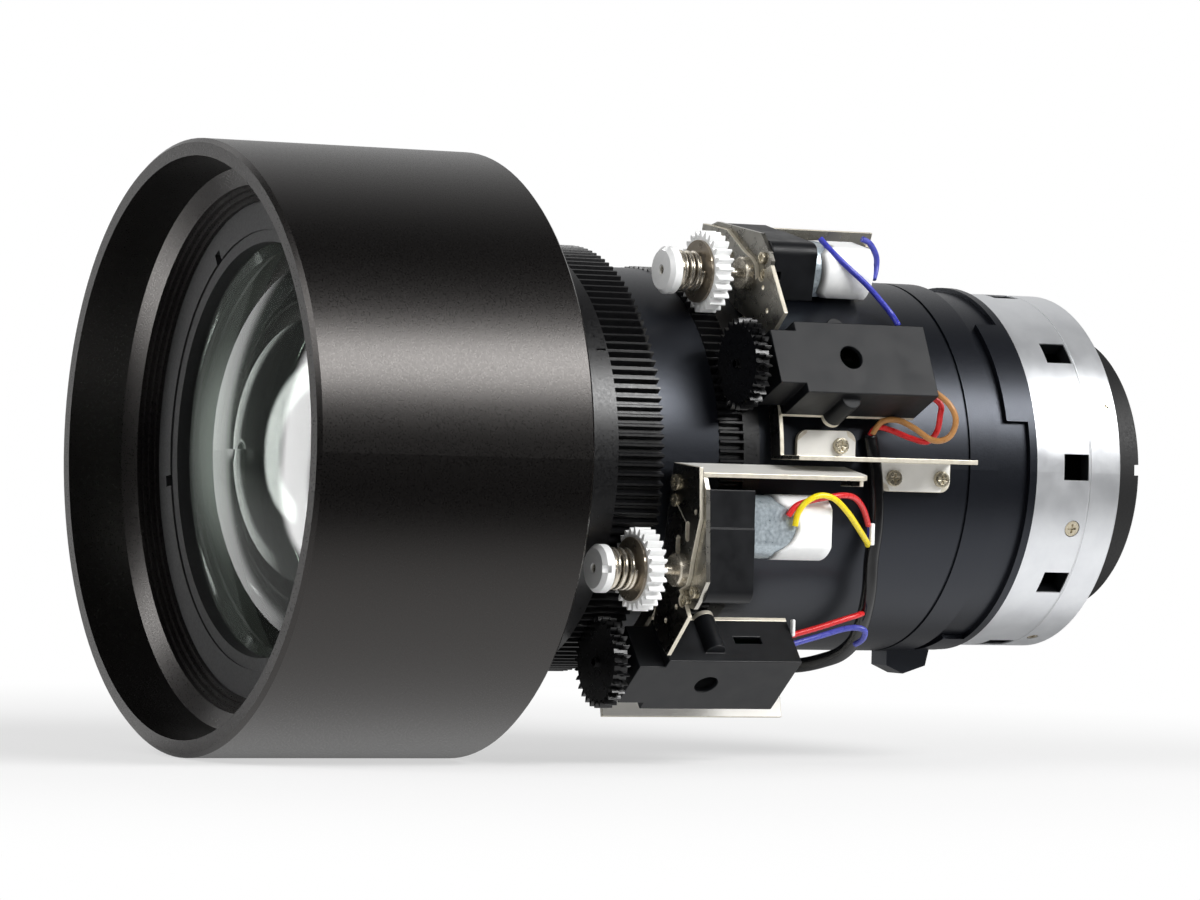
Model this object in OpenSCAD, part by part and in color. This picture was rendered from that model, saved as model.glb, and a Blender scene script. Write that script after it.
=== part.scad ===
// Projection zoom lens with motor focus and motor zoom.
// Origin: centre of the flange seat, on the optical axis. The front glass faces -Y and +Z is up.
// Angles round the axis are measured from +X towards +Z.

/* [Hood and front glass] */
// How far the hood stands out over the main barrel
hood_rise = 22.2; // [21.2:0.1:26]
// Length of the hood
hood_len = 58.1; // [52:0.1:68]
// Thickness of the hood's wall at its front edge
mouth_wall = 3.4; // [2.5:0.1:4]
// Thickness of the hood's wall where the mouth ends
inner_wall = 5.1; // [4.6:0.1:6.5]
// Width of the front retaining ring
retainer_w = 5.7; // [4.5:0.1:6.2]
// Width of the thin ring between the retaining ring and the open glass
thin_ring_w = 2.4; // [1.5:0.1:3]
// Distance between the two front glasses
lens_gap = 8.8; // [7:0.1:11]
// Radius of curvature of the front glass
dome_r = 90; // [85:1:130]

/* [Focus ring] */
// Height of the focus ring's pitch circle over the front sleeve
focus_ring_rise = 3.4; // [3.1:0.3:4.3]
// Width of the focus ring's teeth
focus_teeth_len = 10.2; // [9:0.1:11]
// Length of the smooth collar in front of the teeth
collar_len = 14.25; // [12.5:0.05:16]

/* [Zoom ring] */
// Height of the zoom ring's pitch circle over the neck
zoom_ring_rise = 2.05; // [1.75:0.3:2.65]
// Width of the zoom ring's teeth
zoom_teeth_len = 5.4; // [5:0.1:6.5]
// Width of the plain band behind the teeth
zoom_band_len = 3.6; // [3.5:0.1:4.5]
// Height of the plain band over the neck
zoom_band_rise = 2.45; // [2.15:0.1:2.85]
// Module of the outer gears
gear_module = 0.6; // [0.6:0.01:0.62]

/* [Barrel] */
// Outer radius of the main barrel
barrel_r = 37.8; // [36:0.1:42]
// Length of the main barrel in front of the flange seat
barrel_len = 65.25; // [64:0.05:70]
// Step from the main barrel out to the front sleeve
sleeve_step = 0.8; // [0.4:0.05:0.8]
// Length of the front sleeve that shows between the two rings
sleeve_show = 14.4; // [13:0.1:16]
// Step from the main barrel down to the neck that carries the zoom ring
neck_step = 1.45; // [1.3:0.05:1.6]

/* [Mount] */
// Step from the main barrel down to the mount spigot
spigot_step = 1.4; // [1.2:0.05:1.8]
// Length of the mount spigot
spigot_len = 20.9; // [20:0.1:24]
// Step from the main barrel down to the bayonet lugs
lug_step = 0.3; // [0:0.05:0.8]
// Length of the bayonet lugs
lug_len = 5.1; // [4.5:0.1:5.5]
// Width of the slot in front of the lugs
lug_slot = 2.8; // [2.5:0.1:3.2]
// Step from the mount spigot in to the black rear ring
rear_step = 8.1; // [6.9:0.1:8.6]
// Distance that the rear ring stands behind the spigot
rear_show = 9.7; // [8:0.1:11]
// Width of a spigot window
window_w = 5.3; // [4:0.1:6]
// Length of a spigot window
window_len = 5.9; // [5:0.1:6]

/* [Motor drives] */
// Number of teeth on the clutch gears
gear_teeth = 25; // [24:1:26]
// Angle of the focus drive shaft round the axis
focus_drive_angle = -25; // [-26:0.5:-24]
// Angle of the zoom drive shaft round the axis
zoom_drive_angle = 55.1; // [54.6:0.1:56]
// Radius of a drive shaft
shaft_r = 1; // [0.9:0.01:1]
// Diameter of the motor can
can_d = 12.4; // [12:0.05:12.4]
// Distance between the motor can's two flats
can_flats = 10; // [9.6:0.05:10]
// Length of the motor can
can_len = 17.5; // [16:0.1:20]
// Length of the gearbox case
case_len = 10.3; // [10.2:0.1:12]
// Thickness of the bracket sheet
sheet = 0.9; // [0.7:0.05:1]
// Outer diameter of the clutch spring
spring_d = 8.4; // [7.6:0.1:8.8]
// Wire diameter of the clutch spring
wire_d = 0.85; // [0.7:0.01:0.87]

/* [Position sensors] */
// Number of teeth on the sensor gears
sensor_teeth = 28; // [28:1:29]
// Angle of the focus sensor gear round the axis
focus_sensor_angle = -51.5; // [-52.5:0.5:-51]
// Angle of the zoom sensor gear round the axis
zoom_sensor_angle = 24.5; // [24:0.5:25]
// Length of the sensor cover behind the bracket
cover_len = 29.8; // [27:0.1:30]
// Thickness of the sensor cover's walls
cover_wall = 1; // [0.8:0.05:1.2]

/* [Leads] */
// Radius of a lead
lead_r = 0.65; // [0.5:0.01:0.65]
// Radius of the black sleeve that gathers the leads
loom_r = 1.3; // [1.1:0.05:1.3]

/* [Hidden] */
$fn = 96;
// Fits and cuts
fit = 0.05;
play = 0.1;
over = 2;
hair = 0.02;

// Tubes, from the neck inwards
neck_wall = 1.75;
cam_wall = 1.95;
guide_wall = 1.75;
sleeve_seat = 0.4;
front_tube_wall = 2.4;
sleeve_r = barrel_r + sleeve_step;
neck_r = barrel_r - neck_step;
bore_r = neck_r - neck_wall;
cam_r = bore_r - fit;
cam_bore_r = cam_r - cam_wall;
guide_r = cam_bore_r - fit;
guide_bore_r = guide_r - guide_wall;
cell_r = guide_bore_r - fit;
front_tube_r = neck_r - sleeve_seat;
focus_teeth = 2 * round((sleeve_r + focus_ring_rise) / gear_module);
zoom_teeth = 2 * round((neck_r + zoom_ring_rise) / gear_module);

// Stations along the axis
y_shoulder = -barrel_len;
y_zoom_back = y_shoulder - fit;
y_zoom_teeth = y_zoom_back - zoom_band_len;
y_zoom_front = y_zoom_teeth - zoom_teeth_len;
y_sleeve_back = y_zoom_front - fit;
y_focus_back = y_zoom_front - sleeve_show;
y_focus_teeth = y_focus_back - focus_teeth_len;
y_focus_front = y_focus_teeth - collar_len;
y_hood_back = y_focus_front - fit;
y_hood_front = y_hood_back - hood_len;

// Hood
hood_edge = 0.8;
hood_back_edge = 0.6;
hood_r = barrel_r + hood_rise;
mouth_r = hood_r - mouth_wall;
wall_r = hood_r - inner_wall;
baffle_drop = 3.3;
baffle_w = 2.8;
baffle_r = wall_r - baffle_drop;
baffle_in_r = baffle_r - baffle_w;
baffle_lead = 2;
baffle_step = 0.9;
baffle_count = 3;
back_wall = 4.8;
hub_rise = 2.4;
hub_r = sleeve_r + hub_rise;
hub_len = 5;
pocket_wall = 2.8;
pocket_w = 5.4;
pocket_out_r = hood_r - pocket_wall;
pocket_in_r = pocket_out_r - pocket_w;
pocket_depth = 34;
retainer_t = 3.2;
retainer_back = 0.8;
retainer_r = baffle_in_r - play;
retainer_bore_r = retainer_r - retainer_w;
glass_r = retainer_bore_r - thin_ring_w;
thin_ring_front = 2.8;
spanner_w = 2.2;
spanner_depth = 1.4;
spanner_angles = [120.9, -171.1, -59];
glass_seat_w = 2.1;
second_step = 2.1;
front_lens_r = retainer_r - glass_seat_w;
front_lens_t = 10;
second_lens_r = front_lens_r - second_step;
second_lens_t = 12;
hollow_r = 55;
hollow_land = 4.6;
hollow_edge_r = glass_r - hollow_land;
second_dome_r = 110;
tube_flange_t = 3;
spacer_wall = 2;
y_flange_front = y_hood_back - back_wall - tube_flange_t;
y_second = y_flange_front - second_lens_t;
y_lens_back = y_second - lens_gap;
y_seat = y_lens_back - front_lens_t;
y_retainer = y_seat - retainer_t;
y_baffle = y_retainer - retainer_back - baffle_count * baffle_step;

// Front tube, sleeve and focus travel
sleeve_front = 5.15;
neck_len = 13.25;
tube_gap = 4.5;
key_w = 4;
key_rise = 1.05;
key_r = front_tube_r + key_rise;
key_inset = 4;
key_len = 14;
focus_travel = 2.34;
y_neck = y_shoulder - neck_len;
y_tube_back = y_neck - tube_gap;
y_sleeve_front = y_focus_front + sleeve_front;

// Rings
focus_pitch_r = gear_module * focus_teeth / 2;
zoom_pitch_r = gear_module * zoom_teeth / 2;
addendum = gear_module;
dedendum = gear_module * 1.25;
backlash = 0.1;
focus_phase = 1.46;
zoom_phase = 0.6;
focus_bore_r = sleeve_r + fit;
zoom_bore_r = neck_r + fit;
zoom_band_r = neck_r + zoom_band_rise;
collar_step = 0.06;
collar_r = focus_pitch_r + addendum + collar_step;
mark_w = 0.4;
mark_len = 2.4;
mark_depth = 0.5;
mark_angle = 30;

// Cam drive and moving glass
pin_r = 1.5;
drive_pin_angles = [100, 220, 340];
cell_pin_angles = [40, 160, 280];
drive_pin_in = 0.4;
drive_pin_out = 1.4;
cell_pin_in = 2.75;
cell_pin_out = 0.15;
drive_pin_in_r = cam_bore_r + drive_pin_in;
drive_pin_out_r = neck_r + drive_pin_out;
cell_pin_in_r = cell_r - cell_pin_in;
cell_pin_out_r = cam_r - cell_pin_out;
zoom_turn = 30;
cam_over = 5;
cam_steps = 24;
variator_travel = 7;
compensator_travel = -2.5;
variator_from_neck = 20.5;
compensator_from_seat = 26;
y_variator = y_neck + variator_from_neck;
y_compensator = -compensator_from_seat;
variator_len = 14;
compensator_len = 12;
variator_wall = 5.75;
compensator_wall = 4.75;
variator_glass_r = cell_r - variator_wall;
compensator_glass_r = cell_r - compensator_wall;
glass_lip = 2;
glass_lip_t = 2;
variator_glass_t = 7;
compensator_glass_t = 8;
guide_flange_len = 4;
cam_front_gap = 0.6;

// Barrel details
groove_from_seat = 16.8;
groove_y = -groove_from_seat;
groove_w = 0.7;
groove_d = 0.4;
rear_band_len = 1.7;
rear_band_step = 0.4;
lug_base_step = 1.4;
rear_band_r = barrel_r - rear_band_step;
lug_base_r = barrel_r - lug_base_step;
lug_r = barrel_r - lug_step;
lug_from = 15.5;
lug_to = 52;
lug_count = 3;
key_lug_w = 6;
key_lug_rise = 4.6;
key_lug_side = 2.9;
key_lug_root = 1.6;
key_lug_r = barrel_r + key_lug_rise;
key_lug_side_r = barrel_r + key_lug_side;
key_lug_root_r = barrel_r - key_lug_root;
key_lug_front = 13.5;
key_lug_crest = 9.5;
key_lug_rear = 4.2;
key_lug_back = 3.1;
motor_flat = 0.8;

// Spigot and rear glass
spigot_r = barrel_r - spigot_step;
rear_r = spigot_r - rear_step;
spigot_wall = 3;
spigot_end_wall = 2;
spigot_seat = 0.1;
seat_gap = 0.15;
head_sink = 0.1;
spigot_edge = 0.5;
window_y = 7.1;
window_count = 9;
window_angle = 1.7;
rear_tube_wall = 4.2;
rear_front = 1;
rear_flange_t = 3;
rear_edge = 0.5;
rear_glass_y = 14;
rear_glass_t = 10;
rear_lip = 2;
rear_lip_t = 2;
rear_lock_t = 2.5;
rear_lock_w = 2.4;
rear_notch_w = 2.2;
rear_notch_d = 1.3;
pan_r = 1.6;
pan_h = 0.7;
small_pan_r = 1.1;
small_pan_h = 0.4;
thread_r = 0.8;
thread_len = 2.4;
pan_y = 10.5;
pan_angle = -18.3;
pan_count = 3;
small_pan_y = 18.4;
small_pan_angle = 21.7;
low_pan_y = 15.8;
low_pan_angle = -70;

// Drive stations in front of and behind the bracket's front face
focus_plate_gap = 3;
zoom_plate_gap = 2.9;
focus_plate_y = y_focus_back + focus_plate_gap;
zoom_plate_y = y_zoom_back + zoom_plate_gap;
gear_back = 7.3;
gear_t = 3.4;
washer_t = 0.6;
washer_d = 12.4;
spring_len = 5.6;
cap_len = 2.4;
cap_d = 9.4;
cap_edge = 0.8;
cap_hole_r = 1.02;
cap_notch_w = 1.4;
cap_notch_d = 0.9;
clutch_shaft_r = 0.85;
shaft_flat = 0.25;
flat_len = 3.4;
bush_r = 3.3;
bush_len = 1.7;
bush_edge = 0.3;
bush_shank_r = 2;
spring_turns = 3;
gear_pitch_r = gear_module * gear_teeth / 2;
focus_rho = focus_pitch_r + gear_pitch_r;
zoom_rho = zoom_pitch_r + gear_pitch_r;
focus_module_turn = 0;
zoom_module_turn = 78;

// Bracket outline, across (u) and up (w) from the drive shaft
plate_edge = 1;
plate_top = 20.8;
plate_top_out = 19;
plate_left_u = -4;
plate_right_u = 6.3;
plate_side_u = 6.9;
plate_side_w = 11.7;
plate_side_low_w = 10;
plate_waist_u = 4;
plate_waist_w = 2;
plate_toe_u = 3.5;
plate_toe_w = -9;
plate_tip_u = -4.5;
plate_tip_w = -16.8;
plate_heel_u = -10.8;
plate_heel_w = -12.1;
plate_inner_u = -7;
plate_inner_w = 5.2;
plate_notch_u = -0.4;
plate_notch_w = -3.9;
top_flange_len = 38.6;
lip_low_w = 17;
lip_right_u = 3.4;
rail_w = 3.65;
rail_over = 16;
strip_len = 41;
strip_rise = 2.4;
strip_front = 2;
focus_strip_angle = -78;
zoom_strip_angle = 0;
focus_strip_off = 3.34;
zoom_strip_off = 1.45;
tab_wide = 6.65;
tab_from = 24.7;
tab_narrow = 5.55;
zoom_small_tab_from = 5.5;
zoom_small_tab_to = 18.9;
focus_small_tab_from = 1.6;
focus_small_tab_to = 10.6;
tab_gap = 0.05;
tab_screws = [27.7, 38.7];
tab_screw_in = 4;
small_tab_screw_in = 2.55;
zoom_small_screw_y = 15.2;
focus_small_screw_y = 6.2;
loom_gap_from = 19.4;
loom_gap_to = 24.4;
loom_gap_rise = 3.4;
oval_r = 0.8;
oval_long = 1.1;
oval_spots = [[2.3, 7.5], [-1.3, 4.8]];
dot_r = 0.45;
dot_spots = [[-1.4, -7.2], [-5.5, -10], [5.3, 11.3]];
bump_r = 1;
bump_h = 0.35;
bump_spot = [2, -9.6];
rivet_spot = [-3, 13.5];
rivet_r = 1.3;
rivet_bore_r = 0.7;
rivet_h = 0.4;
plate_screw_spot = [-2.6, 16.9];
plate_screws_low = [[4, -4.3], [0.9, -5.9]];

// Gearbox, plate and motor
plate2_side_u = 7.5;
plate2_low_u = 8.6;
plate2_low_w = -2.1;
plate2_toe_u = 5.7;
plate2_toe_w = -6;
plate2_foot_u = 4;
plate2_foot_w = -7.5;
plate2_top_w = 18;
case_left_u = -3.9;
case_right_u = 7.5;
case_top_w = 15.8;
case_low_w = -6.2;
case_corner = 2.4;
case_wall = 0.8;
case_thin_wall = 0.4;
case_ledge_w = 8.3;
case_ledge = 0.2;
motor_w = 8.7;
can_wall = 0.6;
end_cap_t = 1.2;
end_cap_inset = 0.4;
end_boss_r = 2;
end_boss_h = 0.5;
label_t = 0.15;
label_len = 8.8;
label_over = 1;
motor_shaft_r = 0.5;
rotor_r = 4;
rotor_gap = 1.4;
fine_module = 0.3;
pinion_teeth = 8;
wheel_teeth = 20;
small_teeth = 10;
fine_backlash = 0.09;
fine_top = 0.8;
fine_root = 1.15;
pinion_t = 2;
wheel_t = 1.6;
output_t = 2.4;
output_y = 4.6;
wheel_y = 8.8;
fine_shaft_r = 0.6;
shaft_end = 0.3;

// Sensor
sensor_module_turn = -1.5;
cover_low_t = -8.2;
cover_high_t = 7.2;
cover_in_n = -5;
cover_out_n = 5.2;
cover_start = 0.7;
nose_len = 5.7;
nose_low_t = -6.3;
nose_high_t = 5.2;
cover_hole_r = 2.4;
cover_hole_y = 12.2;
cover_hole_t = -0.3;
boss_r = 2.15;
boss_y = 11.6;
boss_top_n = 3;
boss_hole_r = 0.8;
side_slot_y = 17;
side_slot_len = 6;
side_slot_n = -1;
side_slot_w = 1.6;
exit_w = 3.4;
exit_h = 3.2;
focus_exit = [-1.3, 4.7];
zoom_exit = [2.8, -5.65];
sensor_gear_back = 7.9;
sensor_gear_t = 2.9;
sensor_offset = 0.13;
sensor_backlash = 0.32;
sensor_hub_r = 3;
sensor_hub_t = 2.4;
sensor_shaft_tip = 0.6;
pot_r = 3.9;
pot_front = 3.8;
pot_len = 7;
pot_foot_w = 7;
board_t = 0.8;
board_edge = 0.4;
board_from = 4;
board_to = 28.6;
sensor_pitch_r = gear_module * sensor_teeth / 2;
focus_sensor_rho = focus_pitch_r + sensor_pitch_r;
zoom_sensor_rho = zoom_pitch_r + sensor_pitch_r;

// Screws that hold the brackets
screw_head_r = 1.6;
screw_head_h = 1;
screw_slot_w = 0.45;
screw_slot_d = 0.4;
screw_len = 2.3;
plate_screw_r = 1.2;
plate_screw_h = 0.6;

// Lead routes, points on the real run at this barrel radius and this place of the zoom bracket
route_r = 37.8;
route_y = -62.4;
loom_route = [[38.9, -40.4, 6.1], [39.4, -39.7, 1.4], [39.5, -38.9, -5.6], [38, -38.3, -10.7],
    [35.9, -37.2, -16.4], [32.1, -34.7, -22.9], [27.3, -33.1, -28.5], [22.7, -32.4, -32.4],
    [17.4, -31.3, -35.5], [11, -32.5, -38]];
focus_motor_a = [[50.55, -65.6, -9.8], [50.95, -64.2, -8.5], [51, -62.8, -7.6], [50.9, -60.5, -7.2], [48.6, -54, -6.4],
    [46, -48.5, -6], [42.6, -43.5, -8.5], [40.7, -41, -11.3], [37.4, -38.3, -13.4]];
focus_motor_b = [[50.55, -65.4, -12.4], [50.95, -64.1, -11.2], [51, -62.6, -9.7], [51, -60, -9],
    [51, -57.6, -8.9], [50.9, -54.6, -8.8], [48, -50.6, -9.2], [44.2, -46, -11.4], [40.6, -41.2, -15], [36.4, -37.8, -15.9]];
zoom_motor_a = [[20.4, -41.4, 44.7], [21.6, -39.8, 44.8], [23.8, -37.6, 43.3], [24.9, -34.4, 40.4],
    [24.2, -31, 37.6], [20.6, -27.8, 36.8], [16.8, -25.6, 36.4], [17.6, -24.4, 35.6], [21.3, -25.2, 33.4],
    [25.5, -26.4, 30.2]];
zoom_motor_b = [[22.3, -41.4, 44.4], [23.6, -40, 43.7], [25.4, -37, 41], [26.2, -33.6, 37.8],
    [26, -30.4, 35], [25, -28.4, 33.6], [26.6, -28.6, 30.8], [29.2, -28.6, 27.4]];
zoom_sensor_a = [[47.4, -34, 14.6], [47.5, -31.2, 14.4], [48.6, -29, 11], [48.2, -28.4, 7.4],
    [46.4, -29.6, 4.4], [43.8, -33, 4], [41.6, -36.8, 6], [39.6, -39, 8], [38.9, -39.65, 5.9]];
zoom_sensor_b = [[47.8, -34, 16.5], [48.2, -31.2, 16.3], [51, -28.4, 13], [51.4, -27, 8.2],
    [50.6, -27.8, 5.4], [48.6, -30, 5], [46, -33.6, 6.4], [42.8, -37.6, 7.8], [40.4, -41, 8.8], [38.9, -41.15, 5.9]];
focus_sensor_a = [[34.6, -57, -34.7], [34.8, -54.4, -34.5], [35.4, -51, -34], [35.6, -46, -32.8],
    [35, -41.4, -31.4], [33.2, -37.6, -30.4], [30.4, -35, -29.6], [27.9, -33.5, -28.2]];
focus_sensor_b = [[33.5, -57, -36.2], [33.5, -54.4, -36.2], [33.6, -51, -36], [33.6, -46, -35],
    [33, -41, -33.8], [31.2, -37, -32.4], [28, -34.6, -31.8], [25.4, -33, -30.9]];

// Shared shapes
module prism(y0, y1) translate([0, y1, 0]) rotate([90, 0, 0]) linear_extrude(y1 - y0) children();
module rod(y0, y1, r, u = 0, w = 0) translate([u, y1, w]) rotate([90, 0, 0]) cylinder(h = y1 - y0, r = r);
module turned(pts) rotate([-90, 0, 0]) rotate_extrude() polygon(pts);
module tube(y0, y1, r_in, r_out) turned([[r_in, y0], [r_out, y0], [r_out, y1], [r_in, y1]]);
module spin(angle) rotate([0, -angle, 0]) children();
module post(angle, y, r0, r1, r, z = 0) spin(angle) translate([r0, y, z]) rotate([0, 90, 0])
    cylinder(h = r1 - r0, r = r);
module block(x0, x1, y0, y1, z0, z1) translate([x0, y0, z0]) cube([x1 - x0, y1 - y0, z1 - z0]);
function polar(r, a) = [r * cos(a), r * sin(a)];
function wedge(r, a0, a1, n = 8) = concat([[0, 0]], [for (i = [0:n]) polar(r, a0 + (a1 - a0) * i / n)]);
module sector(r_in, r_out, a0, a1) intersection() {
    difference() { circle(r_out); circle(r_in); }
    polygon(wedge(2 * r_out, a0, a1));
}
module slotted(spots, long, r) for (s = spots) oval(s, long, r);
module oval(s, long, r) translate(s) {
    square([2 * r, 2 * long], center = true);
    translate([0, long]) circle(r);
    translate([0, -long]) circle(r);
}

// Gear outlines: straight flanks for the large rings, involute flanks for the small gears
deg = 180 / PI;
pressure = 20;
function inv(a) = tan(a) * deg - a;
function ring_tooth(a, h, rp, rt, rr) = [
    polar(rr, a - (h + (rp - rr) * tan(pressure)) / rr * deg),
    polar(rt, a - (h - (rt - rp) * tan(pressure)) / rt * deg),
    polar(rt, a + (h - (rt - rp) * tan(pressure)) / rt * deg),
    polar(rr, a + (h + (rp - rr) * tan(pressure)) / rr * deg)];
function ring_outline(n, m, thin, phase) = let (rp = m * n / 2, h = m * PI / 4 - thin / 2)
    [for (k = [0:n - 1]) each ring_tooth(phase + k * 360 / n, h, rp, rp + addendum, rp - dedendum)];
function half_angle(r, rp, h) = let (rb = rp * cos(pressure))
    h / rp * deg + inv(pressure) - inv(acos(min(1, rb / r)));
function gear_outline(n, m, thin, phase, top = 1, root = 1.25) = let (
    rp = m * n / 2, h = m * PI / 4 - thin / 2, rt = rp + top * m, rr = rp - root * m,
    rb = max(rp * cos(pressure), rr), q = [rb, (rb + rp) / 2, rp, (rp + rt) / 2, rt])
    [for (k = [0:n - 1]) let (a = phase + k * 360 / n)
        each concat([polar(rr, a - half_angle(rb, rp, h))], [for (r = q) polar(r, a - half_angle(r, rp, h))],
            [for (i = [4:-1:0]) polar(q[i], a + half_angle(q[i], rp, h))],
            [polar(rr, a + half_angle(rb, rp, h))])];
// Angle of a gear's first tooth, so that a tooth of the other gear falls in its gap
function mesh_phase(n1, phase1, n2, dir) = dir + 180 - (phase1 - dir) * n1 / n2 + 180 / n2;

// Swept wires and leads
function unit(v) = v / norm(v);
function curve(p, k) = let (n = len(p)) concat([for (i = [0:n - 2]) let (
        a = p[max(i - 1, 0)], b = p[i], c = p[i + 1], d = p[min(i + 2, n - 1)])
        for (j = [0:k - 1]) let (t = j / k)
            0.5 * (2 * b + (c - a) * t + (2 * a - 5 * b + 4 * c - d) * t * t
                + (3 * b - a - 3 * c + d) * t * t * t)], [p[n - 1]]);
function tangents(p) = let (n = len(p)) [for (i = [0:n - 1])
    i == 0 ? unit(p[1] - p[0]) : i == n - 1 ? unit(p[n - 1] - p[n - 2])
        : unit(unit(p[i + 1] - p[i]) + unit(p[i] - p[i - 1]))];
function normals(t, start) = [for (i = 0, v = unit(start - (start * t[0]) * t[0]); i < len(t);
    i = i + 1, v = i < len(t) ? unit(v - (v * t[i]) * t[i]) : v) v];
module swept(p, r, sides, start = [0, 0, 1]) {
    t = tangents(p);
    v = normals(t, start);
    n = len(p);
    pts = [for (i = [0:n - 1]) for (k = [0:sides - 1]) let (a = 360 * k / sides)
        p[i] + r * (cos(a) * v[i] + sin(a) * cross(t[i], v[i]))];
    faces = concat([[for (k = [sides - 1:-1:0]) k]], [[for (k = [0:sides - 1]) (n - 1) * sides + k]],
        [for (i = [0:n - 2]) for (k = [0:sides - 1]) let (
            a = i * sides + k, b = i * sides + (k + 1) % sides)
            each [[a, b, b + sides], [a, b + sides, a + sides]]]);
    polyhedron(points = pts, faces = [for (f = faces) [for (i = [len(f) - 1:-1:0]) f[i]]], convexity = 8);
}

// Places of the two drives and the two sensors
module at_drive(angle, rho, turn, y) spin(angle) translate([rho, y, 0]) spin(turn - angle) children();
module at_focus() at_drive(focus_drive_angle, focus_rho, focus_module_turn, focus_plate_y) children();
module at_zoom() at_drive(zoom_drive_angle, zoom_rho, zoom_module_turn, zoom_plate_y) children();
module at_sensor(angle, rho, y) at_drive(angle, rho, angle - sensor_module_turn, y) children();
module at_focus_sensor() at_sensor(focus_sensor_angle, focus_sensor_rho, focus_plate_y) children();
module at_zoom_sensor() at_sensor(zoom_sensor_angle, zoom_sensor_rho, zoom_plate_y) children();

// Hood and front glass
module hood() color("#1b1b1d") {
    steps = [for (i = [0:baffle_count - 1]) let (dr = (baffle_r - baffle_in_r) / baffle_count)
        each [[baffle_r - i * dr, y_baffle + i * baffle_step],
            [baffle_r - i * dr, y_baffle + (i + 1) * baffle_step]]];
    down = [for (i = [len(steps) - 1:-1:0]) steps[i]];
    turned(concat([
        [mouth_r, y_hood_front], [hood_r - hood_edge, y_hood_front], [hood_r, y_hood_front + hood_edge],
        [hood_r, y_hood_back - hood_back_edge], [hood_r - hood_back_edge, y_hood_back],
        [pocket_out_r, y_hood_back], [pocket_out_r, y_hood_back - pocket_depth],
        [pocket_in_r, y_hood_back - pocket_depth], [pocket_in_r, y_hood_back],
        [hub_r, y_hood_back], [hub_r, y_hood_back + hub_len],
        [focus_bore_r, y_hood_back + hub_len], [focus_bore_r, y_hood_back],
        [front_tube_r, y_hood_back], [front_tube_r, y_hood_back - back_wall],
        [second_lens_r, y_hood_back - back_wall], [second_lens_r, y_lens_back],
        [front_lens_r, y_lens_back], [front_lens_r, y_seat],
        [retainer_r, y_seat], [retainer_r, y_retainer - retainer_back],
        [baffle_in_r, y_retainer - retainer_back]],
        down, [[wall_r, y_baffle - baffle_lead]]));
}
module front_barrel() color("#222224") difference() {
    union() {
        tube(y_flange_front + tube_flange_t, y_tube_back, front_tube_r - front_tube_wall, front_tube_r);
        tube(y_flange_front, y_flange_front + tube_flange_t, front_tube_r - front_tube_wall, second_lens_r);
        intersection() {
            block(front_tube_r - over / 2, key_r, y_sleeve_front + key_inset,
                y_sleeve_front + key_inset + key_len, -key_w / 2, key_w / 2);
            rod(y_flange_front, y_tube_back, key_r);
        }
    }
    rod(y_flange_front - over, y_tube_back + over, front_tube_r - front_tube_wall);
}
module front_lens() color("#9fb3ad") difference() {
    union() {
        rod(y_seat, y_lens_back, front_lens_r);
        intersection() {
            rod(y_seat - glass_r, y_seat + fit, glass_r);
            translate([0, y_seat + sqrt(dome_r * dome_r - glass_r * glass_r), 0]) rotate([90, 0, 0])
                sphere(dome_r);
        }
    }
    translate([0, y_lens_back + sqrt(hollow_r * hollow_r - hollow_edge_r * hollow_edge_r), 0])
        rotate([90, 0, 0]) sphere(hollow_r);
}
module second_lens() color("#9fb3ad") union() {
    rod(y_second, y_flange_front, second_lens_r);
    intersection() {
        rod(y_lens_back, y_second + fit, second_lens_r - spacer_wall - play);
        translate([0, y_second + sqrt(pow(second_dome_r, 2) - pow(second_lens_r - spacer_wall - play, 2)), 0])
            rotate([90, 0, 0]) sphere(second_dome_r);
    }
}
module front_retaining_ring() color("#19191b") difference() {
    turned([[retainer_bore_r, y_retainer], [retainer_r, y_retainer], [retainer_r, y_seat],
        [retainer_bore_r, y_seat]]);
    for (a = spanner_angles) spin(a) block(retainer_bore_r - over, retainer_bore_r + spanner_w,
        y_retainer - over, y_retainer + spanner_depth, -spanner_w / 2, spanner_w / 2);
}
module front_spacers() color("#141416") {
    tube(y_seat - thin_ring_front, y_seat, glass_r, retainer_bore_r);
    tube(y_lens_back, y_second, second_lens_r - spacer_wall, second_lens_r);
}

// Focus ring, front sleeve and zoom ring
module focus_ring() color("#26262a") difference() {
    union() {
        prism(y_focus_teeth, y_focus_back)
            polygon(ring_outline(focus_teeth, gear_module, backlash, focus_phase));
        rod(y_focus_front, y_focus_teeth, collar_r);
    }
    rod(y_focus_front - over, y_focus_back + over, focus_bore_r);
    rod(y_focus_front - over, y_hood_back + hub_len + fit, hub_r + fit);
    spin(mark_angle) block(collar_r - mark_depth, hood_r, y_focus_teeth - mark_len,
        y_focus_teeth - mark_w, -mark_w / 2, mark_w / 2);
}
module front_sleeve() color("#202023") difference() {
    turned([[neck_r, y_sleeve_back], [neck_r, y_neck - fit], [front_tube_r + fit, y_neck - fit],
        [front_tube_r + fit, y_sleeve_front], [sleeve_r, y_sleeve_front], [sleeve_r, y_sleeve_back]]);
    block(front_tube_r - over, key_r + play, y_sleeve_front - over,
        y_sleeve_front + key_inset + key_len + focus_travel + play, -key_w / 2 - fit, key_w / 2 + fit);
    at_strip(focus_strip_angle, focus_strip_off, focus_plate_y)
        translate([sleeve_r - screw_len, focus_small_screw_y, small_tab_screw_in]) rotate([0, 90, 0])
            cylinder(h = screw_len + over, r = thread_r);
}
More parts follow.
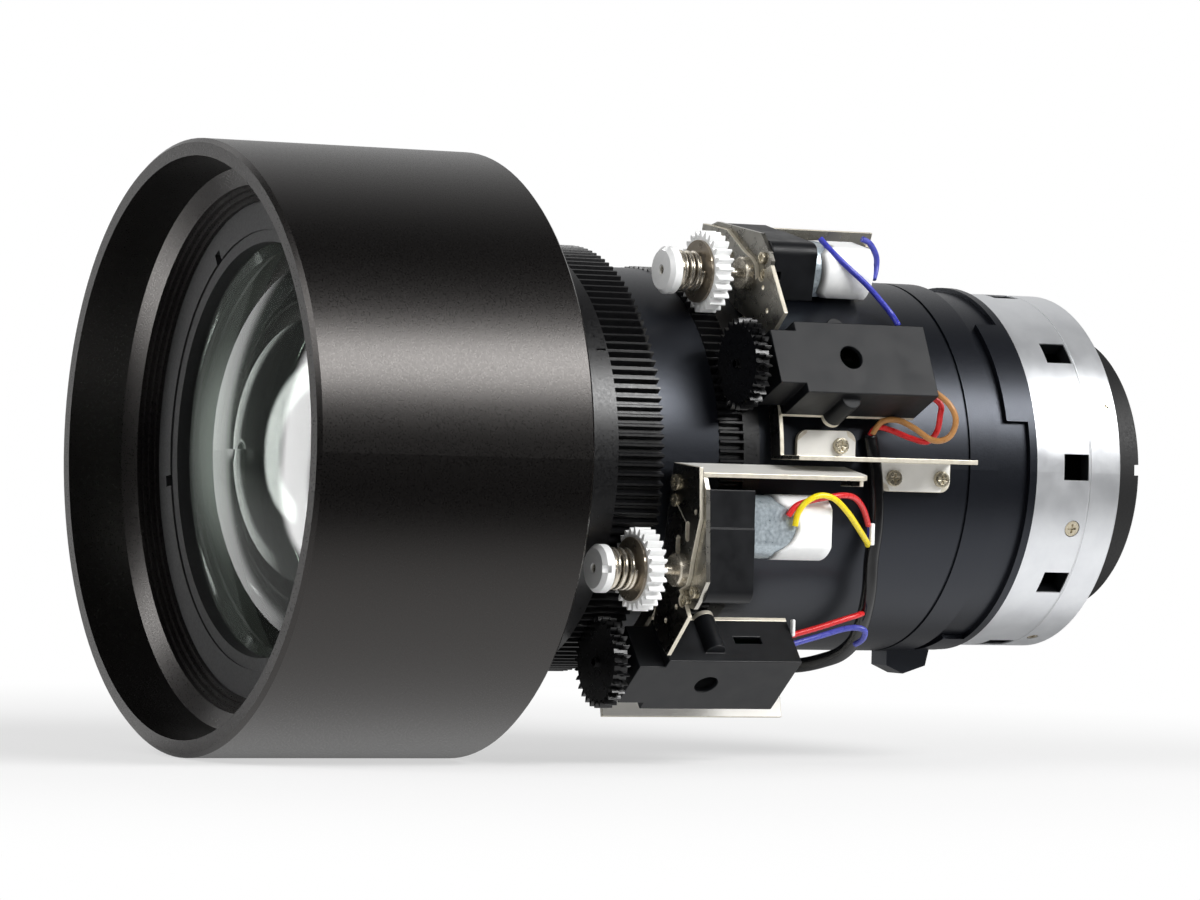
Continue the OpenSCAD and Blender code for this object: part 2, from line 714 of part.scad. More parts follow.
module zoom_ring() color("#26262a") difference() {
    union() {
        prism(y_zoom_front, y_zoom_teeth)
            polygon(ring_outline(zoom_teeth, gear_module, backlash, zoom_phase));
        rod(y_zoom_teeth, y_zoom_back, zoom_band_r);
    }
    rod(y_zoom_front - over, y_zoom_back + over, zoom_bore_r);
    for (a = drive_pin_angles) post(a, y_zoom_teeth + zoom_band_len / 2, neck_r - over, drive_pin_out_r, pin_r);
}

// Fixed barrel
module main_barrel() color("#1c1c1f") difference() {
    union() {
        turned([[bore_r, y_neck], [neck_r, y_neck], [neck_r, y_shoulder], [barrel_r, y_shoulder],
            [barrel_r, groove_y], [barrel_r - groove_d, groove_y], [barrel_r - groove_d, groove_y + groove_w],
            [barrel_r, groove_y + groove_w], [barrel_r, -rear_band_len - lug_len - lug_slot],
            [lug_base_r, -rear_band_len - lug_len - lug_slot], [lug_base_r, -rear_band_len],
            [rear_band_r, -rear_band_len], [rear_band_r, 0], [spigot_r, 0], [spigot_r, -spigot_seat],
            [bore_r, -spigot_seat]]);
        for (k = [0:lug_count - 1]) prism(-rear_band_len - lug_len, -rear_band_len)
            sector(bore_r + play, lug_r, lug_from + 360 * k / lug_count, lug_to + 360 * k / lug_count);
        translate([key_lug_w / 2, 0, 0]) rotate([0, -90, 0]) linear_extrude(key_lug_w)
            polygon([[-key_lug_root_r, -key_lug_front], [-key_lug_side_r, -key_lug_front],
                [-key_lug_r, -key_lug_crest], [-key_lug_side_r, -key_lug_rear],
                [-key_lug_root_r, -key_lug_back]]);
    }
    for (a = drive_pin_angles) prism(y_zoom_teeth + zoom_band_len / 2 - pin_r - play,
        y_zoom_teeth + zoom_band_len / 2 + pin_r + play)
        polygon(concat([[0, 0]], [for (i = [0:slot_steps]) polar(barrel_r + over,
            a + (zoom_turn + pin_swing) * (2 * i / slot_steps - 1))]));
    at_drive(0, 0, zoom_module_turn, 0) block(flat_out, flat_out + over, zoom_plate_y + sheet * 2 + case_len,
        zoom_plate_y + sheet * 2 + case_len + can_len + end_cap_t + end_boss_h + label_over,
        -flat_half, flat_half);
    screw_holes(barrel_r);
}
flat_out = barrel_r - motor_flat;
flat_half = barrel_r / 2;
pin_swing = 3.2;
slot_steps = 8;
module guide_tube() color("#2a2a2c") difference() {
    union() {
        tube(y_neck + cam_front_gap, -spigot_seat, guide_bore_r, guide_r);
        tube(-guide_flange_len, -spigot_seat, guide_bore_r, bore_r);
    }
    for (a = cell_pin_angles) {
        guide_slot(a, y_variator, abs(variator_travel));
        guide_slot(a, y_compensator, abs(compensator_travel));
    }
}
module guide_slot(a, y, travel) {
    r = pin_r + fit;
    reach = travel + play;
    post(a, y - reach, guide_bore_r - over, guide_r + over, r);
    post(a, y + reach, guide_bore_r - over, guide_r + over, r);
    spin(a) block(guide_bore_r - over, guide_r + over, y - reach, y + reach, -r, r);
}
module cam_tube() color("#6e6a60") difference() {
    tube(y_neck + cam_front_gap, -guide_flange_len - play, cam_bore_r, cam_r);
    for (a = cell_pin_angles) {
        cam_slot(a, y_variator, variator_travel);
        cam_slot(a, y_compensator, compensator_travel);
    }
    for (a = drive_pin_angles) post(a, y_zoom_teeth + zoom_band_len / 2, cam_bore_r - over, cam_r + over, pin_r);
}
module cam_slot(a, y, travel) {
    slope = travel / (zoom_turn * PI / 180 * cam_r);
    half = (pin_r + play) * sqrt(1 + slope * slope);
    r0 = cam_bore_r - over / 2;
    r1 = cam_r + over / 2;
    rings = [for (i = [0:cam_steps]) let (t = (zoom_turn + cam_over) * (2 * i / cam_steps - 1))
        [polar(1, a - t), y + travel * t / zoom_turn]];
    pts = [for (q = rings) each [
        [r0 * q[0][0], q[1] - half, r0 * q[0][1]], [r1 * q[0][0], q[1] - half, r1 * q[0][1]],
        [r1 * q[0][0], q[1] + half, r1 * q[0][1]], [r0 * q[0][0], q[1] + half, r0 * q[0][1]]]];
    n = len(rings);
    last = 4 * n - 4;
    faces = concat([[2, 1, 0], [3, 2, 0], [last + 1, last + 2, last], [last + 2, last + 3, last]],
        [for (i = [0:n - 2]) for (k = [0:3]) let (p = 4 * i + k, q = 4 * i + (k + 1) % 4)
            each [[q, q + 4, p], [q + 4, p + 4, p]]]);
    polyhedron(points = pts, faces = faces, convexity = 4);
}
module zoom_drive_pins() color("#b9b9bc") for (a = drive_pin_angles)
    post(a, y_zoom_teeth + zoom_band_len / 2, drive_pin_in_r, drive_pin_out_r, pin_r);

// Moving glass inside the tubes
module cell(y, long, glass) difference() {
    tube(y - long / 2, y + long / 2, glass - glass_lip, cell_r);
    rod(y - long / 2 - over, y + long / 2 - glass_lip_t, glass);
    for (a = cell_pin_angles) post(a, y, cell_pin_in_r, cell_r + over, pin_r);
}
module glass_disc(y, long, glass, thick, dome) intersection() {
    rod(y + long / 2 - glass_lip_t - thick, y + long / 2 - glass_lip_t, glass);
    translate([0, y + long / 2 - glass_lip_t - thick + dome, 0]) rotate([90, 0, 0]) sphere(dome);
}
module cell_pins(y) for (a = cell_pin_angles) post(a, y, cell_pin_in_r, cell_pin_out_r, pin_r);
module variator_cell() color("#2c2c2e") cell(y_variator, variator_len, variator_glass_r);
module variator_lens() color("#9fb3ad")
    glass_disc(y_variator, variator_len, variator_glass_r, variator_glass_t, dome_r);
module variator_pins() color("#b9b9bc") cell_pins(y_variator);
module compensator_cell() color("#2c2c2e") cell(y_compensator, compensator_len, compensator_glass_r);
module compensator_lens() color("#9fb3ad")
    glass_disc(y_compensator, compensator_len, compensator_glass_r, compensator_glass_t, dome_r);
module compensator_pins() color("#b9b9bc") cell_pins(y_compensator);

// Mount spigot, rear ring and rear glass
module mount_spigot() color("#b4b6b8") difference() {
    turned([[spigot_r - spigot_wall, -spigot_seat], [spigot_r, -spigot_seat],
        [spigot_r, spigot_len - spigot_edge], [spigot_r - spigot_edge, spigot_len],
        [rear_r, spigot_len], [rear_r, spigot_len - spigot_end_wall],
        [spigot_r - spigot_wall, spigot_len - spigot_end_wall]]);
    for (k = [0:window_count - 1]) spin(window_angle + 360 * k / window_count)
        block(spigot_r - spigot_wall - over, spigot_r + over, window_y, window_y + window_len,
            -window_w / 2, window_w / 2);
    for (k = [0:pan_count - 1]) screw_seat(pan_angle + 360 * k / pan_count, pan_y, pan_r, pan_h);
    screw_seat(small_pan_angle, small_pan_y, small_pan_r, small_pan_h);
    screw_seat(low_pan_angle, low_pan_y, small_pan_r, small_pan_h);
}
// Seat that lets a screw's head lie flush with the spigot
module screw_seat(angle, y, head_r, head_h) {
    post(angle, y, spigot_r - head_sink - head_h, spigot_r + over, head_r + seat_gap);
    post(angle, y, spigot_r - thread_len, spigot_r + over, thread_r);
}
module pan_screw(angle, y, head_r, head_h) spin(angle) difference() {
    top = spigot_r - head_sink;
    union() {
        translate([top - head_h, y, 0]) rotate([0, 90, 0]) cylinder(h = head_h, r = head_r);
        translate([spigot_r - thread_len, y, 0]) rotate([0, 90, 0])
            cylinder(h = thread_len - head_sink - fit, r = thread_r);
    }
    deep = min(screw_slot_d, head_h - fit);
    block(top - deep, spigot_r + over, y - screw_slot_w / 2, y + screw_slot_w / 2,
        -head_r * cross_share, head_r * cross_share);
    block(top - deep, spigot_r + over, y - head_r * cross_share, y + head_r * cross_share,
        -screw_slot_w / 2, screw_slot_w / 2);
}
cross_share = 0.6;
module spigot_screws() color("#8d8f92") {
    for (k = [0:pan_count - 1]) pan_screw(pan_angle + 360 * k / pan_count, pan_y, pan_r, pan_h);
    pan_screw(small_pan_angle, small_pan_y, small_pan_r, small_pan_h);
    pan_screw(low_pan_angle, low_pan_y, small_pan_r, small_pan_h);
}
y_rear_end = spigot_len + rear_show;
module rear_ring() color("#151517") difference() {
    turned([[rear_r - rear_tube_wall - rear_lip, rear_glass_y - rear_lip_t],
        [rear_r - rear_tube_wall, rear_glass_y - rear_lip_t], [rear_r - rear_tube_wall, rear_front],
        [rear_r, rear_front], [rear_r, spigot_len - spigot_end_wall - rear_flange_t],
        [spigot_r - spigot_wall, spigot_len - spigot_end_wall - rear_flange_t],
        [spigot_r - spigot_wall, spigot_len - spigot_end_wall], [rear_r, spigot_len - spigot_end_wall],
        [rear_r, y_rear_end - rear_edge], [rear_r - rear_edge, y_rear_end],
        [rear_r - rear_tube_wall, y_rear_end], [rear_r - rear_tube_wall, rear_glass_y],
        [rear_r - rear_tube_wall - rear_lip, rear_glass_y]]);
    for (k = [0:lug_count - 1]) spin(window_angle + 360 * k / lug_count)
        block(rear_r - rear_tube_wall - over, rear_r + over, y_rear_end - rear_notch_d, y_rear_end + over,
            -rear_notch_w / 2, rear_notch_w / 2);
}
module rear_lens() color("#9fb3ad") intersection() {
    rod(rear_glass_y, rear_glass_y + rear_glass_t, rear_r - rear_tube_wall);
    translate([0, rear_glass_y + rear_glass_t - dome_r, 0]) rotate([90, 0, 0]) sphere(dome_r);
}
module rear_retaining_ring() color("#19191b") difference() {
    tube(rear_glass_y + rear_glass_t, rear_glass_y + rear_glass_t + rear_lock_t,
        rear_r - rear_tube_wall - rear_lock_w, rear_r - rear_tube_wall);
    for (a = [0, 180]) spin(a) block(rear_r - rear_tube_wall - rear_lock_w - over,
        rear_r - rear_tube_wall - rear_lock_w / 2, rear_glass_y + rear_glass_t + rear_lock_t / 2,
        rear_glass_y + rear_glass_t + rear_lock_t + over, -spanner_w / 2, spanner_w / 2);
}

// Brackets
module at_strip(angle, off, y) translate([0, y, 0]) spin(angle) translate([0, 0, off]) children();
plate_outline = [[plate_left_u, plate_top], [plate_right_u, plate_top_out + plate_edge], [plate_side_u, plate_side_w],
    [plate_side_u, plate_side_low_w], [plate_waist_u, plate_waist_w], [bush_r, -plate_edge],
    [bush_r - plate_edge, plate_notch_w + plate_edge], [plate_notch_u, plate_notch_w],
    [plate_toe_u - plate_edge * 2, plate_toe_w + plate_edge * 3], [plate_toe_u, plate_toe_w],
    [plate_tip_u, plate_tip_w], [plate_heel_u, plate_heel_w], [plate_inner_u, plate_inner_w]];
module bracket_face(y) prism(0, y) difference() {
    polygon(plate_outline);
    circle(bush_shank_r);
    slotted(oval_spots, oval_long, oval_r);
    for (s = dot_spots) translate(s) circle(dot_r);
    for (s = plate_screws_low) translate(s) circle(plate_screw_r + play);
    translate(rivet_spot) circle(rivet_bore_r);
    translate(plate_screw_spot) circle(thread_r);
}
module bracket_top() {
    slope = (plate_top - plate_top_out) / (plate_right_u - plate_left_u);
    prism(0, top_flange_len) polygon([[plate_left_u, plate_top], [plate_right_u, plate_top_out],
        [plate_right_u, plate_top_out - sheet], [plate_left_u, plate_top - sheet]]);
    prism(top_flange_len - sheet, top_flange_len) polygon([[plate_left_u, plate_top - sheet / 2],
        [lip_right_u, plate_top - sheet / 2 - slope * (lip_right_u - plate_left_u)], [lip_right_u, lip_low_w],
        [plate_left_u, lip_low_w]]);
}
module bracket_rail(rho, sensor_angle, strip_angle, off, y) prism(y, y + sheet)
    sector(rho + cover_in_n - rail_w, rho + cover_in_n, strip_angle + asin(off / (rho + cover_in_n)),
        sensor_angle + rail_over);
module bracket_strip(rho, inner) {
    block(rho + cover_in_n - rail_w, rho + strip_rise, 0, strip_len, -sheet / 2, sheet / 2);
    block(inner, rho, tab_from, strip_len, -sheet / 2, sheet / 2);
    block(inner, inner + sheet, tab_from, strip_len, sheet / 2 - tab_wide, sheet / 2);
}
module small_tab(rho, inner, y0, y1) {
    block(inner, rho, y0, y1, -sheet / 2, sheet / 2);
    block(inner, inner + sheet, y0, y1, -sheet / 2, tab_narrow);
}
module bracket_floor() {
    block(cover_in_n - sheet, cover_in_n, 0, cover_start + cover_len, cover_low_t, cover_high_t);
    for (t = [cover_low_t, cover_high_t]) translate([cover_in_n - sheet, boss_y, t]) rotate([0, 90, 0])
        cylinder(h = sheet, r = boss_r);
}
// Room for the sensor cover beside the bracket's face
module cover_room() block(cover_in_n + hair, 2 * cover_out_n, -over, sheet + over, cover_low_t - play,
    cover_high_t + play);
module tab_holes(r, r0, r1, small_y) {
    for (y = tab_screws) translate([r0, y, sheet / 2 - tab_screw_in]) rotate([0, 90, 0])
        cylinder(h = r1 - r0, r = r);
    if (small_y > 0) translate([r0, small_y, small_tab_screw_in]) rotate([0, 90, 0])
        cylinder(h = r1 - r0, r = r);
}
module screw_holes(r1) {
    at_strip(zoom_strip_angle, zoom_strip_off, zoom_plate_y)
        tab_holes(thread_r, r1 - screw_len, r1 + over, zoom_small_screw_y);
    at_strip(focus_strip_angle, focus_strip_off, focus_plate_y)
        tab_holes(thread_r, r1 - screw_len, r1 + over, 0);
}
module focus_bracket() color("#b9b6ae") difference() {
    union() {
        at_focus() { bracket_face(sheet); bracket_top(); }
        bracket_rail(focus_sensor_rho, focus_sensor_angle, focus_strip_angle, focus_strip_off, focus_plate_y);
        at_strip(focus_strip_angle, focus_strip_off, focus_plate_y) {
            bracket_strip(focus_sensor_rho, barrel_r + tab_gap);
            small_tab(focus_sensor_rho, sleeve_r + tab_gap, focus_small_tab_from, focus_small_tab_to);
        }
        at_focus_sensor() bracket_floor();
    }
    at_focus_sensor() cover_room();
    at_strip(focus_strip_angle, focus_strip_off, focus_plate_y)
        tab_holes(thread_r, barrel_r - over, sleeve_r + over, focus_small_screw_y);
}
module zoom_bracket() color("#b9b6ae") difference() {
    union() {
        at_zoom() { bracket_face(sheet); bracket_top(); }
        bracket_rail(zoom_sensor_rho, zoom_sensor_angle, zoom_strip_angle, zoom_strip_off, zoom_plate_y);
        at_strip(zoom_strip_angle, zoom_strip_off, zoom_plate_y) {
            bracket_strip(zoom_sensor_rho, barrel_r + tab_gap);
            small_tab(zoom_sensor_rho, barrel_r + tab_gap, zoom_small_tab_from, zoom_small_tab_to);
        }
        at_zoom_sensor() bracket_floor();
    }
    rod(zoom_plate_y - over, zoom_plate_y + strip_len, barrel_r + tab_gap);
    at_zoom_sensor() cover_room();
    at_strip(zoom_strip_angle, zoom_strip_off, zoom_plate_y) {
        tab_holes(thread_r, barrel_r - over, barrel_r + over, zoom_small_screw_y);
        block(barrel_r - over, barrel_r + loom_gap_rise, loom_gap_from, loom_gap_to, -over, over);
    }
}
module tab_screw(r_seat, y, z) translate([r_seat, y, z]) rotate([0, 90, 0]) difference() {
    union() {
        cylinder(h = screw_head_h, r = screw_head_r);
        translate([0, 0, -screw_len - sheet]) cylinder(h = screw_len + sheet + fit, r = thread_r);
    }
    for (a = [0, 90]) rotate([0, 0, a]) translate([-screw_head_r * cross_share, -screw_slot_w / 2,
        screw_head_h - screw_slot_d]) cube([2 * screw_head_r * cross_share, screw_slot_w, over]);
}
module plate_screw(s, r, h, deep) translate([s[0], 0, s[1]]) rotate([90, 0, 0]) difference() {
    union() {
        cylinder(h = h, r = r);
        translate([0, 0, -deep]) cylinder(h = deep + fit, r = thread_r);
    }
    for (a = [0, 90]) rotate([0, 0, a]) translate([-r * cross_share, -screw_slot_w / 2, h - screw_slot_d])
        cube([2 * r * cross_share, screw_slot_w, over]);
}
module face_fixings() {
    plate_screw(plate_screw_spot, screw_head_r, plate_screw_h, 2 * sheet);
    difference() {
        union() {
            rod(-rivet_h, 0, rivet_r, rivet_spot[0], rivet_spot[1]);
            rod(-fit, sheet, rivet_bore_r, rivet_spot[0], rivet_spot[1]);
        }
        rod(-over, sheet / 2, rivet_bore_r * cross_share, rivet_spot[0], rivet_spot[1]);
    }
    for (s = plate_screws_low) translate([0, sheet, 0]) plate_screw(s, plate_screw_r, plate_screw_h, sheet * 2);
}
module bracket_screws() color("#c2c2c2") {
    at_strip(zoom_strip_angle, zoom_strip_off, zoom_plate_y) {
        for (y = tab_screws) tab_screw(barrel_r + tab_gap + sheet, y, sheet / 2 - tab_screw_in);
        tab_screw(barrel_r + tab_gap + sheet, zoom_small_screw_y, small_tab_screw_in);
    }
    at_strip(focus_strip_angle, focus_strip_off, focus_plate_y) {
        for (y = tab_screws) tab_screw(barrel_r + tab_gap + sheet, y, sheet / 2 - tab_screw_in);
        tab_screw(sleeve_r + tab_gap + sheet, focus_small_screw_y, small_tab_screw_in);
    }
    at_focus() face_fixings();
    at_zoom() face_fixings();
}

// Gearbox
plate2_outline = [[case_left_u, plate2_top_w], [plate2_side_u - plate_edge, plate2_top_w],
    [plate2_side_u, case_top_w], [plate2_low_u, plate2_low_w], [plate2_toe_u, plate2_toe_w],
    [plate2_foot_u, plate2_foot_w], [case_left_u, plate2_foot_w + plate_edge]];
module gearbox_plate() prism(sheet, 2 * sheet) difference() {
    polygon(plate2_outline);
    circle(bush_shank_r);
    translate([0, output_rise]) circle(fine_shaft_r + fit);
    translate(plate_screw_spot) circle(thread_r);
    for (s = plate_screws_low) translate(s) circle(thread_r);
}
module gearbox_plates() color("#a9a69c") {
    at_focus() gearbox_plate();
    at_zoom() gearbox_plate();
}
output_rise = fine_module * (small_teeth + wheel_teeth) / 2;
case_y = 2 * sheet;
module gearbox_case() difference() {
    union() {
        prism(case_y, case_y + case_len) union() {
            polygon([[case_left_u, case_low_w], [case_right_u - case_corner, case_low_w],
                [case_right_u - case_corner, case_low_w + case_corner], [case_right_u, case_low_w + case_corner],
                [case_right_u, case_ledge_w], [case_right_u - case_ledge, case_ledge_w],
                [case_right_u - case_ledge, case_top_w], [case_left_u, case_top_w]]);
            translate([case_right_u - case_corner, case_low_w + case_corner]) circle(case_corner);
        }
    }
    prism(case_y - over, case_y + case_len - case_wall) polygon([
        [case_left_u + case_thin_wall, case_low_w + case_wall],
        [case_right_u - case_corner, case_low_w + case_wall],
        [case_right_u - case_wall - case_ledge, case_low_w + case_corner],
        [case_right_u - case_wall - case_ledge, case_top_w - case_wall],
        [case_left_u + case_thin_wall, case_top_w - case_wall]]);
    rod(case_y, case_y + case_len + over, shaft_r + fit);
    rod(case_y, case_y + case_len + over, fine_shaft_r + fit, 0, output_rise);
    rod(case_y, case_y + case_len + over, fine_module * (pinion_teeth / 2 + 1) + play * 2, 0, motor_w);
    for (s = plate_screws_low) translate([s[0], 0, s[1]]) rod(0, case_y + thread_len, thread_r);
}
module focus_gearbox_case() color("#17171a") at_focus() gearbox_case();
module zoom_gearbox_case() color("#17171a") at_zoom() gearbox_case();
module bush() difference() {
    union() {
        translate([0, -bush_len, 0]) turned([[shaft_r + fit, 0], [bush_r - bush_edge, 0], [bush_r, bush_edge],
            [bush_r, bush_len], [shaft_r + fit, bush_len]]);
        tube(-fit, 2 * sheet, shaft_r + fit, bush_shank_r);
    }
}
module drive_bushes() color("#c9c6bd") {
    at_focus() bush();
    at_zoom() bush();
}

// Motors
can_y = case_y + case_len;
module can_shape(grow) translate([0, motor_w]) intersection() {
    circle(can_d / 2 + grow);
    square([can_flats + 2 * grow, can_d * 2], center = true);
}
module motor_can() difference() {
    prism(can_y, can_y + can_len) can_shape(0);
    prism(can_y + can_wall, can_y + can_len + over) can_shape(-can_wall);
    rod(can_y - over, can_y + over, motor_shaft_r + fit, 0, motor_w);
}
module focus_motor_can() color("#a4a6a8") at_focus() motor_can();
module zoom_motor_can() color("#a4a6a8") at_zoom() motor_can();
module end_cap() difference() {
    union() {
        prism(can_y + can_len, can_y + can_len + end_cap_t) can_shape(-end_cap_inset);
        rod(can_y + can_len, can_y + can_len + end_cap_t + end_boss_h, end_boss_r, 0, motor_w);
    }
    rod(can_y + can_len - over, can_y + can_len + end_cap_t, motor_shaft_r + fit, 0, motor_w);
}
module motor_end_caps() color("#e6e3da") {
    at_focus() end_cap();
    at_zoom() end_cap();
}
module label() prism(can_y + can_len + label_over - label_len, can_y + can_len + label_over) difference() {
    can_shape(label_t);
    can_shape(0);
}
module motor_labels() color("#f2f2ee") {
    at_focus() label();
    at_zoom() label();
}
module motor_rotor(phase) {
    rod(can_y + can_wall + rotor_gap, can_y + can_len - rotor_gap, rotor_r, 0, motor_w);
    rod(wheel_y - shaft_end, can_y + can_len + end_cap_t - shaft_end, motor_shaft_r, 0, motor_w);
    translate([0, 0, motor_w]) prism(wheel_y - shaft_end, wheel_y - shaft_end + pinion_t)
        polygon(gear_outline(pinion_teeth, fine_module, fine_backlash, phase, fine_top, fine_root));
}
wheel_phase = mesh_phase(wheel_teeth, 0, small_teeth, 90);
rotor_phase = mesh_phase(wheel_teeth, wheel_phase, pinion_teeth, 90);
module focus_motor_rotor() color("#8b8d90") at_focus() motor_rotor(rotor_phase);
module zoom_motor_rotor() color("#8b8d90") at_zoom() motor_rotor(rotor_phase);
module reduction_gear() translate([0, 0, output_rise]) {
    rod(sheet + shaft_end, case_y + case_len - shaft_end, fine_shaft_r);
    prism(output_y, wheel_y)
        polygon(gear_outline(small_teeth, fine_module, fine_backlash, wheel_phase, fine_top, fine_root));
    prism(wheel_y, wheel_y + wheel_t)
        polygon(gear_outline(wheel_teeth, fine_module, fine_backlash, wheel_phase, fine_top, fine_root));
}
module focus_reduction_gear() color("#d9d3c0") at_focus() reduction_gear();
module zoom_reduction_gear() color("#d9d3c0") at_zoom() reduction_gear();

// Drive shaft with its spring clutch
module drive_shaft() {
    difference() {
        rod(-gear_back, case_y + case_len - shaft_end, shaft_r);
        block(shaft_r - shaft_flat, shaft_r + over, -gear_back - over, -gear_back + flat_len, -over, over);
    }
    rod(-gear_back - gear_t - washer_t - spring_len - cap_len + shaft_end, -gear_back + hair, clutch_shaft_r);
    prism(output_y, output_y + output_t)
        polygon(gear_outline(wheel_teeth, fine_module, fine_backlash, 0, fine_top, fine_root));
}
module focus_drive_shaft() color("#c4c4c6") at_focus() drive_shaft();
module zoom_drive_shaft() color("#c4c4c6") at_zoom() drive_shaft();
module drive_gear(phase) prism(-gear_back - gear_t, -gear_back) difference() {
    polygon(gear_outline(gear_teeth, gear_module, backlash, phase));
    circle(clutch_shaft_r);
}
module focus_drive_gear() color("#efefec") at_focus()
    drive_gear(mesh_phase(focus_teeth, focus_phase, gear_teeth, focus_drive_angle) - focus_module_turn);
module zoom_drive_gear() color("#efefec") at_zoom()
    drive_gear(mesh_phase(zoom_teeth, zoom_phase, gear_teeth, zoom_drive_angle) - zoom_module_turn);
module clutch_washer() tube(-gear_back - gear_t - washer_t, -gear_back - gear_t, clutch_shaft_r, washer_d / 2);
module focus_clutch_washer() color("#8e8578") at_focus() clutch_washer();
module zoom_clutch_washer() color("#8e8578") at_zoom() clutch_washer();
module clutch_cap() {
    y1 = -gear_back - gear_t - washer_t - spring_len;
    y0 = y1 - cap_len;
    difference() {
        turned([[clutch_shaft_r, y0], [cap_d / 2 - cap_edge, y0], [cap_d / 2, y0 + cap_edge], [cap_d / 2, y1],
            [clutch_shaft_r, y1]]);
        rod(y0 - over, y0 + shaft_end * 2, cap_hole_r);
        block(cap_d / 2 - cap_notch_d, cap_d, y0 - over, y0 + cap_edge * 2, -cap_notch_w / 2, cap_notch_w / 2);
    }
}
module focus_clutch_cap() color("#f4f4f1") at_focus() clutch_cap();
module zoom_clutch_cap() color("#f4f4f1") at_zoom() clutch_cap();
// The spring is one wire: a straight end, the coil, and a straight end
spring_steps = 8;
coil_r = (spring_d - wire_d) / 2;
coil_len = spring_len - 2 * wire_d;
spring_pitch = coil_len / spring_turns;
spring_path = let (
    y0 = -gear_back - gear_t - washer_t - spring_len,
    n = spring_turns * spring_steps)
    concat([[coil_r, y0, 0]],
        [for (i = [0:n]) [coil_r * cos(i * 360 / spring_steps), y0 + wire_d + coil_len * i / n,
            coil_r * sin(i * 360 / spring_steps)]],
        [[coil_r * cos(n * 360 / spring_steps), y0 + spring_len, coil_r * sin(n * 360 / spring_steps)]]);
spring_gap = min([for (i = [0:len(spring_path) - 1]) for (j = [i + 4:1:len(spring_path) - 1])
    norm(spring_path[i] - spring_path[j])]) - wire_d;
echo(spring_gap = spring_gap);
module clutch_spring() swept(spring_path, wire_d / 2, 6, [1, 0, 0]);
module focus_clutch_spring() color("#c9c9cb") at_focus() clutch_spring();
module zoom_clutch_spring() color("#c9c9cb") at_zoom() clutch_spring();

// Position sensors
module sensor_cover(exit) difference() {
    union() {
        block(cover_in_n, cover_out_n, cover_start, cover_start + cover_len, cover_low_t, cover_high_t);
        block(cover_in_n, cover_out_n, cover_start - nose_len, cover_start + over, nose_low_t, nose_high_t);
        for (t = [cover_low_t, cover_high_t]) translate([cover_in_n, boss_y, t]) rotate([0, 90, 0])
            cylinder(h = boss_top_n - cover_in_n, r = boss_r);
    }
    block(cover_in_n - over, cover_out_n - cover_wall, cover_start + cover_wall,
        cover_start + cover_len - cover_wall, cover_low_t + cover_wall, cover_high_t - cover_wall);
    block(cover_in_n - over, cover_out_n - cover_wall, cover_start - nose_len + cover_wall,
        cover_start + over * 2, nose_low_t + cover_wall, nose_high_t - cover_wall);
    translate([0, cover_hole_y, cover_hole_t]) rotate([0, 90, 0]) cylinder(h = cover_out_n + over, r = cover_hole_r);
    rod(cover_start - nose_len - over, cover_start, shaft_r + play * 3);
    block(side_slot_n, side_slot_n + side_slot_w, side_slot_y, side_slot_y + side_slot_len,
        cover_high_t - cover_wall - over, cover_high_t + over);
    block(exit[0] - exit_h / 2, exit[0] + exit_h / 2, cover_start + cover_len - over,
        cover_start + cover_len + over, exit[1] - exit_w / 2, exit[1] + exit_w / 2);
}
module focus_sensor_cover() color("#17171a") at_focus_sensor() sensor_cover(focus_exit);
module zoom_sensor_cover() color("#17171a") at_zoom_sensor() sensor_cover(zoom_exit);
module potentiometer() difference() {
    union() {
        rod(-pot_front, pot_len - pot_front, pot_r);
        block(cover_in_n, 0, 2 * sheet, pot_len - pot_front, -pot_foot_w / 2, pot_foot_w / 2);
        block(cover_in_n, cover_in_n + board_t, pot_len - pot_front - hair, board_to,
            nose_low_t + cover_wall + board_edge, nose_high_t - cover_wall - board_edge);
    }
    rod(-pot_front - over, pot_len, shaft_r + fit);
}
module sensor_potentiometers() color("#3d5a4a") {
    at_focus_sensor() potentiometer();
    at_zoom_sensor() potentiometer();
}
module sensor_gear(n1, phase1, dir, turn) {
    p = mesh_phase(n1, phase1, sensor_teeth, dir) - turn;
    shift = sensor_offset / sensor_pitch_r * deg;
    y0 = -sensor_gear_back - sensor_gear_t;
    difference() {
        union() {
            prism(y0, y0 + sensor_gear_t / 2)
                polygon(gear_outline(sensor_teeth, gear_module, sensor_backlash, p + shift));
            prism(y0 + sensor_gear_t / 2, -sensor_gear_back)
                polygon(gear_outline(sensor_teeth, gear_module, sensor_backlash, p - shift));
            rod(-sensor_gear_back, -sensor_gear_back + sensor_hub_t, sensor_hub_r);
        }
        rod(y0 - over, over, shaft_r);
    }
    rod(y0 - sensor_shaft_tip, pot_len - pot_front - shaft_end, shaft_r);
}
module focus_sensor_gear() color("#1a1a1c") at_focus_sensor()
    sensor_gear(focus_teeth, focus_phase, focus_sensor_angle, focus_sensor_angle - sensor_module_turn);
module zoom_sensor_gear() color("#1a1a1c") at_zoom_sensor()
    sensor_gear(zoom_teeth, zoom_phase, zoom_sensor_angle, zoom_sensor_angle - sensor_module_turn);

